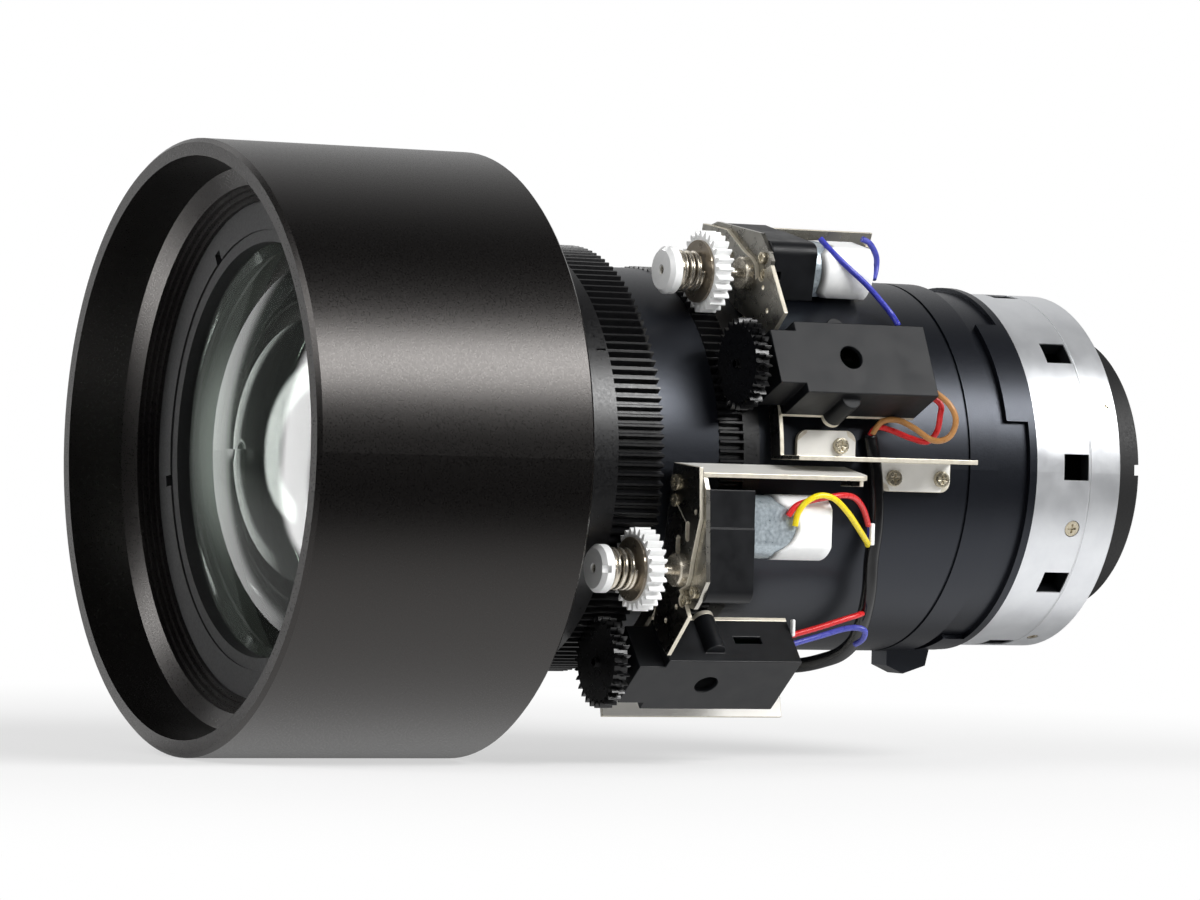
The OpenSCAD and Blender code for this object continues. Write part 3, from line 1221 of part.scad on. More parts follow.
// Leads and the sleeve that gathers them
// A route moved with the barrel's surface and the brackets
function placed(route) = [for (p = route) let (rho = norm([p[0], p[2]]), k = (rho + barrel_r - route_r) / rho)
    [p[0] * k, p[1] + zoom_plate_y - route_y, p[2] * k]];
module lead(route) swept(curve(placed(route), 2), lead_r, 8);
module focus_motor_leads() color("#d8a23a") { lead(focus_motor_a); lead(focus_motor_b); }
module zoom_motor_leads() color("#7f8fd0") { lead(zoom_motor_a); lead(zoom_motor_b); }
module focus_sensor_leads() color("#d06a5a") { lead(focus_sensor_a); lead(focus_sensor_b); }
module zoom_sensor_leads() color("#a8683e") { lead(zoom_sensor_a); lead(zoom_sensor_b); }
module lead_sleeve() color("#101012") swept(curve(placed(loom_route), 2), loom_r, 8);

main_barrel();
front_sleeve();
guide_tube();
mount_spigot();
rear_ring();
rear_lens();
rear_retaining_ring();
spigot_screws();
bracket_screws();
focus_bracket();
zoom_bracket();
focus_gearbox_case();
zoom_gearbox_case();
gearbox_plates();
drive_bushes();
focus_motor_can();
zoom_motor_can();
motor_end_caps();
motor_labels();
focus_sensor_cover();
zoom_sensor_cover();
sensor_potentiometers();
focus_motor_leads();
zoom_motor_leads();
focus_sensor_leads();
zoom_sensor_leads();
lead_sleeve();
hood();
front_barrel();
front_lens();
second_lens();
front_retaining_ring();
front_spacers();
focus_ring();
zoom_ring();
cam_tube();
zoom_drive_pins();
variator_cell();
variator_lens();
variator_pins();
compensator_cell();
compensator_lens();
compensator_pins();
focus_drive_shaft();
focus_drive_gear();
focus_clutch_washer();
focus_clutch_spring();
focus_clutch_cap();
zoom_drive_shaft();
zoom_drive_gear();
zoom_clutch_washer();
zoom_clutch_spring();
zoom_clutch_cap();
focus_sensor_gear();
zoom_sensor_gear();
focus_motor_rotor();
zoom_motor_rotor();
focus_reduction_gear();
zoom_reduction_gear();
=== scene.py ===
"""Looks of a projection zoom lens with motor focus and motor zoom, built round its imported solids."""
import math

import bmesh
import bpy
from mathutils import Matrix, Vector


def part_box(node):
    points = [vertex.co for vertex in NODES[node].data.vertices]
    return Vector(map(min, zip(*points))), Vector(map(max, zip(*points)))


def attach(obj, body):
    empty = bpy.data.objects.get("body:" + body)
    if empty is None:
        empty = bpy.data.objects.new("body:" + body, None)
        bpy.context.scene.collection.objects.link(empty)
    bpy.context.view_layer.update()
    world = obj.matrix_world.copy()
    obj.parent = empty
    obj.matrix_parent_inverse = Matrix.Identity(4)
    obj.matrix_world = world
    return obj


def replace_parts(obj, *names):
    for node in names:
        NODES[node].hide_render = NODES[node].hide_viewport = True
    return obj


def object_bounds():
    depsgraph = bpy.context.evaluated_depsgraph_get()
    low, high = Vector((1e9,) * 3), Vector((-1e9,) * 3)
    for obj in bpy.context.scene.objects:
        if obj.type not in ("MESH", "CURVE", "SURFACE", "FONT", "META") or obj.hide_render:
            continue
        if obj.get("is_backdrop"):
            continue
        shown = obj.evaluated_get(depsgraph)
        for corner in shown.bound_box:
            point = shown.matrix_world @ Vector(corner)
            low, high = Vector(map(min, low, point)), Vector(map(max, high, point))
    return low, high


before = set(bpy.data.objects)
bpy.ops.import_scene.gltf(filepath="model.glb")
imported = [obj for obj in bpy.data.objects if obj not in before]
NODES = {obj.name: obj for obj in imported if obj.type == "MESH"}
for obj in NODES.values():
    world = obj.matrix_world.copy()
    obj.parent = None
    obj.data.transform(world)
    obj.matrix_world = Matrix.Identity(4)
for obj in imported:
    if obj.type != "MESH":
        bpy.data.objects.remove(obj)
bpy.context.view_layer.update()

bl_info = {
    "name": "Motor Zoom Projection Lens",
    "version": (1, 0, 0),
    "blender": (4, 5, 0),
    "location": "3D View > Sidebar > Projection Lens",
    "description": "Dresses the solids of a projection zoom lens with its finishes, leads and labels",
    "category": "Add Mesh",
}

MM = 0.001

# Y of the lens's middle, which the lights aim at, and of the front glass, in metres
MIDDLE_Y, GLASS_Y = -0.07, -0.16
# The line cut round the spigot and the radius of its bore, in millimetres
SPIGOT_LINE_Y, SPIGOT_BORE = 13.4, 36.2
# X where the painted glare on the front glass ends, and X of its brightest middle, in millimetres
GLARE_EDGE, GLARE_MIDDLE = -5.0, -10.0
# The motor can in its drive's own axes, in millimetres: radius, half width across the flats, height of its axis
CAN_RADIUS, CAN_FLAT, CAN_HEIGHT = 6.2, 5.0, 8.7
# Front and rear of a motor label on the can, and how far its front edge reaches forward and dips back
LABEL_FRONT, LABEL_REAR, LABEL_REACH, LABEL_DIP = 21.8, 30.6, 3.2, 4.0


def linear(code):
    """Turns an sRGB hex colour into linear RGBA."""
    parts = [int(code[i:i + 2], 16) / 255 for i in (1, 3, 5)]
    return tuple(c / 12.92 if c <= 0.04045 else ((c + 0.055) / 1.055) ** 2.4 for c in parts) + (1.0,)


def add(tree, kind, links=None, values=None, **settings):
    """Adds a node with its settings, the numbers on its sockets and the links into them."""
    node = tree.nodes.new(kind)
    for key, value in settings.items():
        setattr(node, key, value)
    for key, value in (values or {}).items():
        node.inputs[key].default_value = value
    for key, socket in (links or {}).items():
        tree.links.new(socket, node.inputs[key])
    return node


def finish(name, dark, light, grain, rough, rough_spread=0.06, metal=0.0, bump=0.02, ior=1.5, detail=3.0,
           shine="#ffffff"):
    """A surface whose colour, gloss and height all vary with one noise.
    dark, light and shine, the tint of the reflections, are hex colours, and grain and bump are in millimetres."""
    m = bpy.data.materials.new(name)
    m.use_nodes = True
    t = m.node_tree
    t.nodes.clear()
    where = add(t, "ShaderNodeTexCoord")
    noise = add(t, "ShaderNodeTexNoise", {"Vector": where.outputs["Object"]},
                {"Scale": 1 / (grain * MM), "Detail": detail, "Roughness": 0.6})
    tint = add(t, "ShaderNodeMix", {"Factor": noise.outputs["Fac"]}, data_type="RGBA")
    tint.inputs[6].default_value, tint.inputs[7].default_value = linear(dark), linear(light)
    gloss = add(t, "ShaderNodeMapRange", {"Value": noise.outputs["Fac"]},
                {"From Min": 0.3, "From Max": 0.7, "To Min": rough - rough_spread, "To Max": rough + rough_spread})
    height = add(t, "ShaderNodeBump", {"Height": noise.outputs["Fac"]}, {"Strength": 1.0, "Distance": bump * MM})
    shader = add(t, "ShaderNodeBsdfPrincipled",
                 {"Base Color": tint.outputs[2], "Roughness": gloss.outputs[0], "Normal": height.outputs[0]},
                 {"Metallic": metal, "IOR": ior, "Specular Tint": linear(shine)})
    add(t, "ShaderNodeOutputMaterial", {"Surface": shader.outputs[0]})
    return m


def turned_metal(name, dark, light, pitch, rough, bump, mark_y=None, metal=1.0, inside=None):
    """Metal cut on a lathe: fine rings along the axis, a cut line at mark_y, and black within the radius inside."""
    m = finish(name, dark, light, 6.0, rough, 0.05, metal, 0.002)
    t = m.node_tree
    shader = next(n for n in t.nodes if n.type == "BSDF_PRINCIPLED")
    where = next(n for n in t.nodes if n.type == "TEX_COORD")
    split = add(t, "ShaderNodeSeparateXYZ", {"Vector": where.outputs["Object"]})
    rings = add(t, "ShaderNodeTexNoise", {"W": split.outputs["Y"]}, {"Scale": 1 / (pitch * MM), "Detail": 2.0},
                noise_dimensions="1D")
    cut = add(t, "ShaderNodeBump", {"Height": rings.outputs["Fac"]}, {"Strength": 1.0, "Distance": bump * MM})
    if mark_y is not None:
        off = add(t, "ShaderNodeMath", {0: split.outputs["Y"]}, {1: mark_y * MM}, operation="SUBTRACT")
        dist = add(t, "ShaderNodeMath", {0: off.outputs[0]}, operation="ABSOLUTE")
        line = add(t, "ShaderNodeMapRange", {"Value": dist.outputs[0]},
                   {"From Min": 0.08 * MM, "From Max": 0.22 * MM, "To Min": 0.0, "To Max": 1.0})
        cut = add(t, "ShaderNodeBump", {"Height": line.outputs[0], "Normal": cut.outputs[0]},
                  {"Strength": 1.0, "Distance": 0.2 * MM})
    t.links.new(cut.outputs[0], shader.inputs["Normal"])
    if inside:
        flat = add(t, "ShaderNodeVectorMath", {0: where.outputs["Object"]}, {1: (1.0, 0.0, 1.0)},
                   operation="MULTIPLY")
        reach = add(t, "ShaderNodeVectorMath", {0: flat.outputs[0]}, operation="LENGTH")
        bare = add(t, "ShaderNodeMapRange", {"Value": reach.outputs["Value"]},
                   {"From Min": (inside - 0.15) * MM, "From Max": inside * MM, "To Min": 0.03, "To Max": 1.0})
        shade = add(t, "ShaderNodeMix", {"Factor": bare.outputs[0]}, data_type="RGBA")
        shade.inputs[6].default_value = linear("#15171c")
        t.links.new(shader.inputs["Base Color"].links[0].from_socket, shade.inputs[7])
        t.links.new(shade.outputs[2], shader.inputs["Base Color"])
    return m


def optical_glass(name, tint, haze_and_glare=0.0):
    """Polished optical glass: clear and faintly tinted. Given a haze strength, a faint diffuse coating haze covers
    it, with a stronger patch painted over its left half, brightest round its middle: painted glare.
    """
    m = bpy.data.materials.new(name)
    m.use_nodes = True
    t = m.node_tree
    t.nodes.clear()
    where = add(t, "ShaderNodeTexCoord")
    noise = add(t, "ShaderNodeTexNoise", {"Vector": where.outputs["Object"]}, {"Scale": 1 / (40 * MM), "Detail": 2.0})
    polish = add(t, "ShaderNodeMapRange", {"Value": noise.outputs["Fac"]},
                 {"From Min": 0.3, "From Max": 0.7, "To Min": 0.0, "To Max": 0.012})
    shader = add(t, "ShaderNodeBsdfPrincipled", {"Roughness": polish.outputs[0]},
                 {"Base Color": linear(tint), "Transmission Weight": 1.0, "IOR": 1.6})
    if haze_and_glare:
        # Painted glare: the diffuse haze is made five times stronger over the left half of the glass, and strongest
        # round a point in that half
        split = add(t, "ShaderNodeSeparateXYZ", {"Vector": where.outputs["Object"]})
        painted_glare_side = add(t, "ShaderNodeMapRange", {"Value": split.outputs["X"]},
                   {"From Min": (GLARE_EDGE + 0.5) * MM, "From Max": (GLARE_EDGE - 0.5) * MM,
                    "To Min": 0.2 * haze_and_glare, "To Max": haze_and_glare})
        flat = add(t, "ShaderNodeVectorMath", {0: where.outputs["Object"]}, {1: (1.0, 0.0, 1.0)},
                   operation="MULTIPLY")
        reach = add(t, "ShaderNodeVectorMath", {0: flat.outputs[0]}, {1: (GLARE_MIDDLE * MM, 0.0, 0.0)},
                    operation="DISTANCE")
        painted_glare_core = add(t, "ShaderNodeMapRange", {"Value": reach.outputs["Value"]},
                   {"From Min": 24 * MM, "From Max": 4 * MM, "To Min": 0.7, "To Max": 2.6},
                   interpolation_type="SMOOTHSTEP")
        haze_and_glare_mix = add(t, "ShaderNodeMath", {0: painted_glare_side.outputs[0], 1: painted_glare_core.outputs[0]}, operation="MULTIPLY")
        haze = add(t, "ShaderNodeBsdfDiffuse", values={"Color": linear("#dbe6dd")})
        shader = add(t, "ShaderNodeMixShader", {0: haze_and_glare_mix.outputs[0], 1: shader.outputs[0], 2: haze.outputs[0]})
    add(t, "ShaderNodeOutputMaterial", {"Surface": shader.outputs[0]})
    return m


def make_materials():
    """One material for each real material and finish on the lens."""
    return {
        # Aluminium, blasted and black anodised: a deep black with a wide satin sheen and a fine grit
        "anodised": finish("satin_black_anodised_aluminium", "#030202", "#070606", 0.35, 0.3, 0.05, bump=0.012,
                           shine="#fff9f5"),
        "anodised_matt": finish("matt_black_anodised_aluminium", "#05060a", "#0d0f15", 0.3, 0.36, 0.05, bump=0.012,
                                shine="#e9f0ff"),
        # Black anodised ring, cut by a hobbing tool: its tooth lands are worn a little paler
        "ring": finish("hobbed_black_ring", "#080809", "#151517", 0.5, 0.34, 0.07, bump=0.01),
        # Matt black paint that kills stray light inside the hood
        "flock": finish("matt_black_inner_paint", "#040405", "#0a0a0b", 0.4, 0.6, 0.08, bump=0.015),
        # Aluminium turned on a lathe and bead blasted: nearly white, with fine rings and one cut line round it
        "spigot": turned_metal("blasted_turned_aluminium", "#cdcfd3", "#e6e8ea", 0.28, 0.36, 0.003,
                               SPIGOT_LINE_Y, 0.75, SPIGOT_BORE),
        # Black ABS, moulded, with a faint flow pattern
        "moulded": finish("moulded_black_abs", "#060607", "#17191d", 5.0, 0.44, 0.07, bump=0.008, ior=1.33,
                          detail=4.0),
        "gear_black": finish("moulded_black_acetal", "#030304", "#0c0c0e", 1.0, 0.3, 0.05, bump=0.01),
        "nylon": finish("moulded_white_nylon", "#eceded", "#fcfcfb", 1.6, 0.42, 0.06, bump=0.01, ior=1.53),
        # Sheet steel with dull nickel plating, grey with a faint cloud in it
        "plated": finish("nickel_plated_sheet_steel", "#a09d95", "#b8b5ad", 3.0, 0.28, 0.04, 1.0, 0.001),
        # The same plating on the sheet's faces that look along +X or +Z, towards the key light: painted paler, a
        # painted highlight
        "plate_painted_lit": finish("nickel_plate_painted_lit", "#e4e2dc", "#f1efe9", 3.0, 0.45, 0.04, 0.12, 0.001),
        # The punched edge of that sheet: bright, creamy and burnished by the tool
        "cut_edge": finish("burnished_sheet_edge", "#c9c1ae", "#efe9da", 1.5, 0.42, 0.05, 0.5, 0.002),
        "bush": finish("polished_nickel_bush", "#b0a898", "#ddd6c8", 0.8, 0.24, 0.05, 0.8, 0.002),
        "screw": finish("nickel_plated_screw", "#a99c80", "#e0d9c6", 0.6, 0.28, 0.06, 0.8, 0.004),
        # Zinc plated can of the motor, with the crystals of the plating
        "can": finish("spangled_zinc_plate", "#72808a", "#d3dde2", 0.7, 0.36, 0.09, 0.5, 0.004),
        "spring": finish("drawn_spring_steel", "#b3aa9b", "#e9e2d4", 0.8, 0.24, 0.05, 0.85, 0.002),
        "washer": finish("tempered_steel_washer", "#857a6a", "#aaa092", 2.0, 0.3, 0.05, 0.8, 0.001),
        "brass": finish("drawn_brass", "#a88448", "#dcbc78", 0.6, 0.25, 0.05, 1.0, 0.006),
        "bronze": finish("cam_bronze", "#7a6238", "#a88a54", 1.5, 0.35, 0.06, 1.0, 0.006),
        "paper": finish("coated_label_paper", "#eef0f0", "#fbfbfa", 1.2, 0.5, 0.05, bump=0.008),
        "board": finish("solder_masked_board", "#14301f", "#1f4a30", 1.4, 0.35, 0.05, bump=0.02),
        "yellow": finish("yellow_pvc_insulation", "#e2c800", "#fbe520", 0.8, 0.3, 0.05, bump=0.008),
        "red": finish("red_pvc_insulation", "#c01618", "#e23033", 0.8, 0.3, 0.05, bump=0.008),
        "blue": finish("blue_pvc_insulation", "#2c2f9c", "#4a50c4", 0.8, 0.3, 0.05, bump=0.008),
        "periwinkle": finish("periwinkle_pvc_insulation", "#3b3f9e", "#5a60c0", 0.8, 0.3, 0.05, bump=0.008),
        "tan": finish("tan_pvc_insulation", "#9c6a38", "#c08c54", 0.8, 0.32, 0.05, bump=0.008),
        "tubing": finish("glossy_black_pvc_sleeve", "#0a0a0b", "#151517", 1.2, 0.2, 0.05, bump=0.01),
        "glass": optical_glass("optical_crown_glass", "#f2f8f4"),
        # The front glass with a faint green-grey coating haze, and a stronger patch of it painted over the left half,
        # brightest in the middle: painted glare
        "glass_haze_and_painted_glare": optical_glass("crown_glass_haze_and_painted_glare", "#eef6f0", 0.09),
        "glass_inner": optical_glass("optical_flint_glass", "#e6f0ea"),
    }


MATERIALS = {}


def material(key):
    """The named material, made on first use."""
    if not MATERIALS:
        MATERIALS.update(make_materials())
    return MATERIALS[key]


def dress(key, *names):
    """Gives CAD nodes a material through their own slots."""
    for name in names:
        slots = NODES[name].data.materials
        if not len(slots):
            slots.append(material(key))
        for i in range(len(slots)):
            slots[i] = material(key)


def piece(name, bm, key, body, smooth=True):
    """Turns a bmesh into a finished object that rides on a body."""
    bmesh.ops.remove_doubles(bm, verts=bm.verts, dist=1e-7)
    bmesh.ops.recalc_face_normals(bm, faces=bm.faces)
    mesh = bpy.data.meshes.new(name)
    bm.to_mesh(mesh)
    bm.free()
    mesh.shade_smooth() if smooth else mesh.shade_flat()
    obj = bpy.data.objects.new(name, mesh)
    bpy.context.scene.collection.objects.link(obj)
    mesh.materials.append(material(key))
    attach(obj, body)
    return obj


def drive_place(x, y, z, turn):
    """Matrix from a drive's own axes (out, rearwards, up the gearbox) to the lens, for a place in millimetres."""
    c, s = math.cos(math.radians(turn)), math.sin(math.radians(turn))
    m = Matrix(((c, 0, -s), (0, 1, 0), (s, 0, c))).to_4x4()
    m.translation = Vector((x, y, z)) * MM
    return m


# Each drive's place on the barrel in millimetres, and its turn about the lens in degrees
FOCUS_DRIVE = drive_place(44.862, -85.7, -20.920, 0)
ZOOM_DRIVE = drive_place(26.261, -62.4, 37.645, 78)

# Thickness of the bracket sheet, and the middles of the tab corners that are rounded, in millimetres
SHEET = 0.9 * MM
TAB_CORNERS = {
    "focus_bracket": ((51.2, -47.1, -2.35), (39.0, -58.0, 39.0)),
    "zoom_bracket": ((38.3, -56.9, 7.0), (38.3, -43.5, 7.0), (38.3, -37.7, -4.7), (38.3, -21.4, -4.7)),
}


def softened(source, key, body, width, sheet_keys=(), corners=(), round_r=2.2 * MM, smooth=0):
    """A copy of a solid with its sharp edges eased, the given sheet corners rounded and its thin faces told apart;
    with sheet keys, its other faces that look along +X or +Z, towards the key light, take the third, paler material:
    a painted highlight.
    """
    bm = bmesh.new()
    bm.from_mesh(NODES[source].data)
    bmesh.ops.remove_doubles(bm, verts=bm.verts, dist=1e-6)
    bmesh.ops.dissolve_limit(bm, angle_limit=math.radians(0.4), verts=bm.verts, edges=bm.edges)
    for corner in corners:
        spot = Vector(corner) * MM
        near = [e for e in bm.edges if ((e.verts[0].co + e.verts[1].co) / 2 - spot).length < 0.5 * MM
                and abs(e.calc_length() - SHEET) < 0.06 * MM]
        bmesh.ops.bevel(bm, geom=near, offset=round_r, segments=8, affect="EDGES", profile=0.5, material=-1)
    thin = {f for f in bm.faces if 2 * f.calc_area() / max(f.calc_perimeter(), 1e-9) < 1.02 * SHEET}
    for f in bm.faces:
        f.material_index = 0
    if sheet_keys:
        for f in thin:
            f.material_index = 1
        # Painted highlight: faces that look along +X or +Z, towards the key light, get the paler copy of the plating
        for f in bm.faces:
            if f not in thin and max(f.normal.x, f.normal.z) > 0.95:
                f.material_index = 2
    sharp = [e for e in bm.edges if len(e.link_faces) == 2 and e.calc_face_angle(0) > math.radians(40)]
    bmesh.ops.bevel(bm, geom=sharp, offset=width, segments=2, affect="EDGES", profile=0.5,
                    material=1 if sheet_keys else -1)
    made = piece(source + "_eased", bm, key, body, smooth > 0)
    if smooth:
        made.data.set_sharp_from_angle(angle=math.radians(smooth))
    for extra in sheet_keys:
        made.data.materials.append(material(extra))
    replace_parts(made, source)
    return made


class LensSizes(bpy.types.PropertyGroup):
    """Sizes of the pieces that are added to the solids."""
    lead_radius: bpy.props.FloatProperty(
        name="Lead radius", description="Radius of one insulated lead", default=0.6 * MM, unit="LENGTH")
    sleeve_radius: bpy.props.FloatProperty(
        name="Sleeve radius", description="Radius of the black sleeve that gathers the leads", default=1.5 * MM,
        unit="LENGTH")
    label_thickness: bpy.props.FloatProperty(
        name="Label thickness", description="Thickness of the label wrapped round a motor", default=0.12 * MM,
        unit="LENGTH")
    spring_wire: bpy.props.FloatProperty(
        name="Spring wire", description="Diameter of the clutch spring's wire", default=1.0 * MM, unit="LENGTH")
    tip_radius: bpy.props.FloatProperty(
        name="Sensor shaft radius", description="Radius of a sensor's brass shaft tip", default=0.9 * MM,
        unit="LENGTH")


class LensLight(bpy.types.PropertyGroup):
    """Colours and strengths of the studio."""
    floor: bpy.props.FloatVectorProperty(
        name="Floor", description="Colour of the floor", default=(0.9, 0.9, 0.9), subtype="COLOR")
    key_watts: bpy.props.FloatProperty(name="Key light", description="Power of the long soft box", default=19.0)
    glow: bpy.props.FloatProperty(
        name="Side glow", description="Brightness of the white screen at the far side", default=1.5)
    strip: bpy.props.FloatProperty(
        name="Front strip", description="Brightness of the narrow screen in front", default=10.0)
    fill_watts: bpy.props.FloatProperty(name="Fill light", description="Power of the wide soft fill", default=8.0)


class LENS_OT_camera(bpy.types.Operator):
    """Places the camera at the photograph's viewing angle"""
    bl_idname = "lens.camera"
    bl_label = "Camera"

    def execute(self, context):
        data = bpy.data.cameras.new("camera")
        data.lens, data.sensor_width = 180, 36
        cam = bpy.data.objects.new("camera", data)
        context.scene.collection.objects.link(cam)
        right = Vector((0.47344, 0.8803, 0.0285)).normalized()
        back = Vector((0.88072, -0.4736, 0.0)).normalized()
        up = back.cross(right).normalized()
        right = up.cross(back)
        turn = Matrix((right, up, back)).transposed()
        cam.matrix_world = Matrix.Translation(Vector((1.06064, -0.65043, 0.00184))) @ turn.to_4x4()
        data.clip_start, data.clip_end = 0.01, 100
        context.scene.camera = cam
        return {"FINISHED"}


ROUTES = {
    "focus_motor_yellow": ((50.7, -63.77, -11.86), (51.3, -63.53, -9.31), (52.2, -62.11, -7.02),
                           (52.6, -59.23, -5.78), (52.2, -55.8, -6.5), (50.5, -51.77, -9.09),
                           (47.2, -47.43, -12.02), (42.6, -42.78, -14.62), (40.4, -41.1, -15.4)),
    "focus_motor_red": ((50.7, -65.41, -9.94), (50.9, -63.79, -7.96), (50.75, -60.36, -6.82),
                        (50.75, -56.1, -6.05), (49.6, -51.57, -5.68), (47.2, -47.84, -6.53),
                        (44.0, -44.27, -8.69), (41.0, -41.47, -11.47)),
    "zoom_motor_inner": ((18.5, -31.35, 45.92), (18.2, -29.26, 45), (17.6, -27.41, 42.66),
                         (17.4, -27.21, 40.24), (18.5, -28.4, 37.93)),
    "zoom_motor_outer": ((21.3, -42.79, 45.5), (23.3, -40.86, 42.63), (24.9, -37.62, 39.33),
                         (25.2, -33.98, 36.46), (25.2, -30.6, 33.37), (25.6, -28.3, 30.84),
                         (27.2, -27.55, 28.65)),
    "zoom_sensor_red": ((47.4, -33, 14.9), (48.2, -30.01, 12.84), (48.4, -30.06, 10.47), (47, -29.86, 7.36),
                        (45, -30.89, 5.33), (42.8, -33.44, 5.97), (41, -37.02, 7.44), (40, -39.51, 7.86),
                        (39.2, -40.6, 6.2)),
    "zoom_sensor_tan": ((48, -33, 16.2), (50.3, -29.46, 13.07), (51, -28, 9.74), (50.2, -28.9, 6.41),
                        (48.5, -31.58, 5.6), (45.6, -34.51, 8.05), (43, -36.75, 9.45), (41, -38.98, 9),
                        (39.6, -40.31, 6.54)),
    "focus_sensor_red": ((34.6, -56.5, -34.2), (34.9, -52.08, -33), (35.2, -47.93, -31.85),
                         (35.4, -42.81, -30.3), (34.5, -39.3, -29.5), (33, -37.2, -29.02)),
    "focus_sensor_blue": ((33.6, -56.5, -36.2), (33.9, -50.75, -34.61), (34.3, -46.9, -33.5),
                          (35.2, -42.98, -32.3), (36, -40.46, -32), (36.2, -38.7, -32.6),
                          (34.6, -38.15, -34.3), (32.4, -38.6, -35.4)),
    "sleeve": ((38.9, -40.4, 6.1), (39.4, -39.7, 1.4), (39.5, -38.9, -5.6), (38.6, -38.3, -12),
               (37, -38.15, -18.46), (35.4, -37.46, -24.47), (32.6, -36.58, -28.92), (29.3, -35.6, -32.2),
               (25.8, -35.1, -35.2), (21.5, -35.6, -37.8), (17, -37, -39.3), (12.5, -39, -40.4),
               (8, -41.4, -40.8)),
}


def smooth_path(route, steps=8):
    """Points of a smooth curve through a route given in millimetres."""
    p = [Vector(q) * MM for q in route]
    out = []
    for i in range(len(p) - 1):
        a, b, c, d = p[max(i - 1, 0)], p[i], p[i + 1], p[min(i + 2, len(p) - 1)]
        for j in range(steps):
            t = j / steps
            out.append(0.5 * (2 * b + (c - a) * t + (2 * a - 5 * b + 4 * c - d) * t ** 2
                              + (3 * b - a - 3 * c + d) * t ** 3))
    return out + [p[-1]]


def tube(name, path, radius, key, body="barrel"):
    """A round lead along a path, made a mesh in its place."""
    curve = bpy.data.curves.new(name, "CURVE")
    curve.dimensions = "3D"
    curve.bevel_depth, curve.bevel_resolution, curve.use_fill_caps = radius, 4, True
    line = curve.splines.new("POLY")
    line.points.add(len(path) - 1)
    for point, place in zip(line.points, path):
        point.co = (*place, 1.0)
    holder = bpy.data.objects.new(name, curve)
    bpy.context.scene.collection.objects.link(holder)
    bpy.context.view_layer.update()
    made = bpy.data.meshes.new_from_object(holder.evaluated_get(bpy.context.evaluated_depsgraph_get()))
    bpy.data.objects.remove(holder)
    bm = bmesh.new()
    bm.from_mesh(made)
    bpy.data.meshes.remove(made)
    return piece(name, bm, key, body)


class LENS_OT_leads(bpy.types.Operator):
    """Makes each motor and sensor lead in its own colour, and the black sleeve that gathers them"""
    bl_idname = "lens.leads"
    bl_label = "Leads"

    def execute(self, context):
        sizes = context.scene.lens_sizes
        plan = (
            ("focus_motor_yellow", "yellow", "yellow_lead", "focus_motor_leads"),
            ("focus_motor_red", "red", "yellow_lead", "focus_motor_leads"),
            ("zoom_motor_inner", "periwinkle", "blue_lead", "zoom_motor_leads"),
            ("zoom_motor_outer", "blue", "blue_lead", "zoom_motor_leads"),
            ("zoom_sensor_red", "red", "brown_lead", "zoom_sensor_leads"),
            ("zoom_sensor_tan", "tan", "brown_lead", "zoom_sensor_leads"),
            ("focus_sensor_red", "red", "salmon_lead", "focus_sensor_leads"),
            ("focus_sensor_blue", "periwinkle", "salmon_lead", "focus_sensor_leads"),
        )
        for name, key, slot, node in plan:
            lead = tube("lead_" + name, smooth_path(ROUTES[name]), sizes.lead_radius, key)
            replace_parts(lead, node)
        sleeve = tube("gathering_sleeve", smooth_path(ROUTES["sleeve"]), sizes.sleeve_radius, "tubing")
        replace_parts(sleeve, "lead_sleeve")
        return {"FINISHED"}


def motor_label(name, place, thickness):
    """A paper label wrapped round a motor can, with a front edge that dips towards the rear on each flat."""
    bm = bmesh.new()
    radius, flat = CAN_RADIUS * MM + thickness, CAN_FLAT * MM + thickness
    front, rear = LABEL_FRONT * MM, LABEL_REAR * MM
    bmesh.ops.create_circle(bm, segments=72, radius=radius)
    for v in bm.verts:
        x, z = v.co.x, v.co.y
        v.co = Vector((max(-flat, min(flat, x)), rear, z + CAN_HEIGHT * MM))
    edges = list(bm.edges)
    for step in range(6):
        made = bmesh.ops.extrude_edge_only(bm, edges=edges)["geom"]
        edges = [g for g in made if isinstance(g, bmesh.types.BMEdge)]
        ring = {v for e in edges for v in e.verts}
        for v in ring:
            up = (v.co.z - CAN_HEIGHT * MM) / (CAN_RADIUS * MM)
            dip = LABEL_DIP * MM * max(0.0, 1 - (up / 0.8) ** 2)
            v.co.y = rear + (front - LABEL_REACH * MM + dip - rear) * (step + 1) / 6
    bmesh.ops.solidify(bm, geom=list(bm.faces), thickness=-0.8 * thickness)
    bmesh.ops.transform(bm, matrix=place, verts=bm.verts)
    return piece(name, bm, "paper", "barrel")


class LENS_OT_labels(bpy.types.Operator):
    """Wraps a plain white label round each motor"""
    bl_idname = "lens.labels"
    bl_label = "Motor labels"

    def execute(self, context):
        thickness = context.scene.lens_sizes.label_thickness
        for name, place in (("focus_motor_label", FOCUS_DRIVE), ("zoom_motor_label", ZOOM_DRIVE)):
            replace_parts(motor_label(name, place, thickness), "motor_labels")
        return {"FINISHED"}


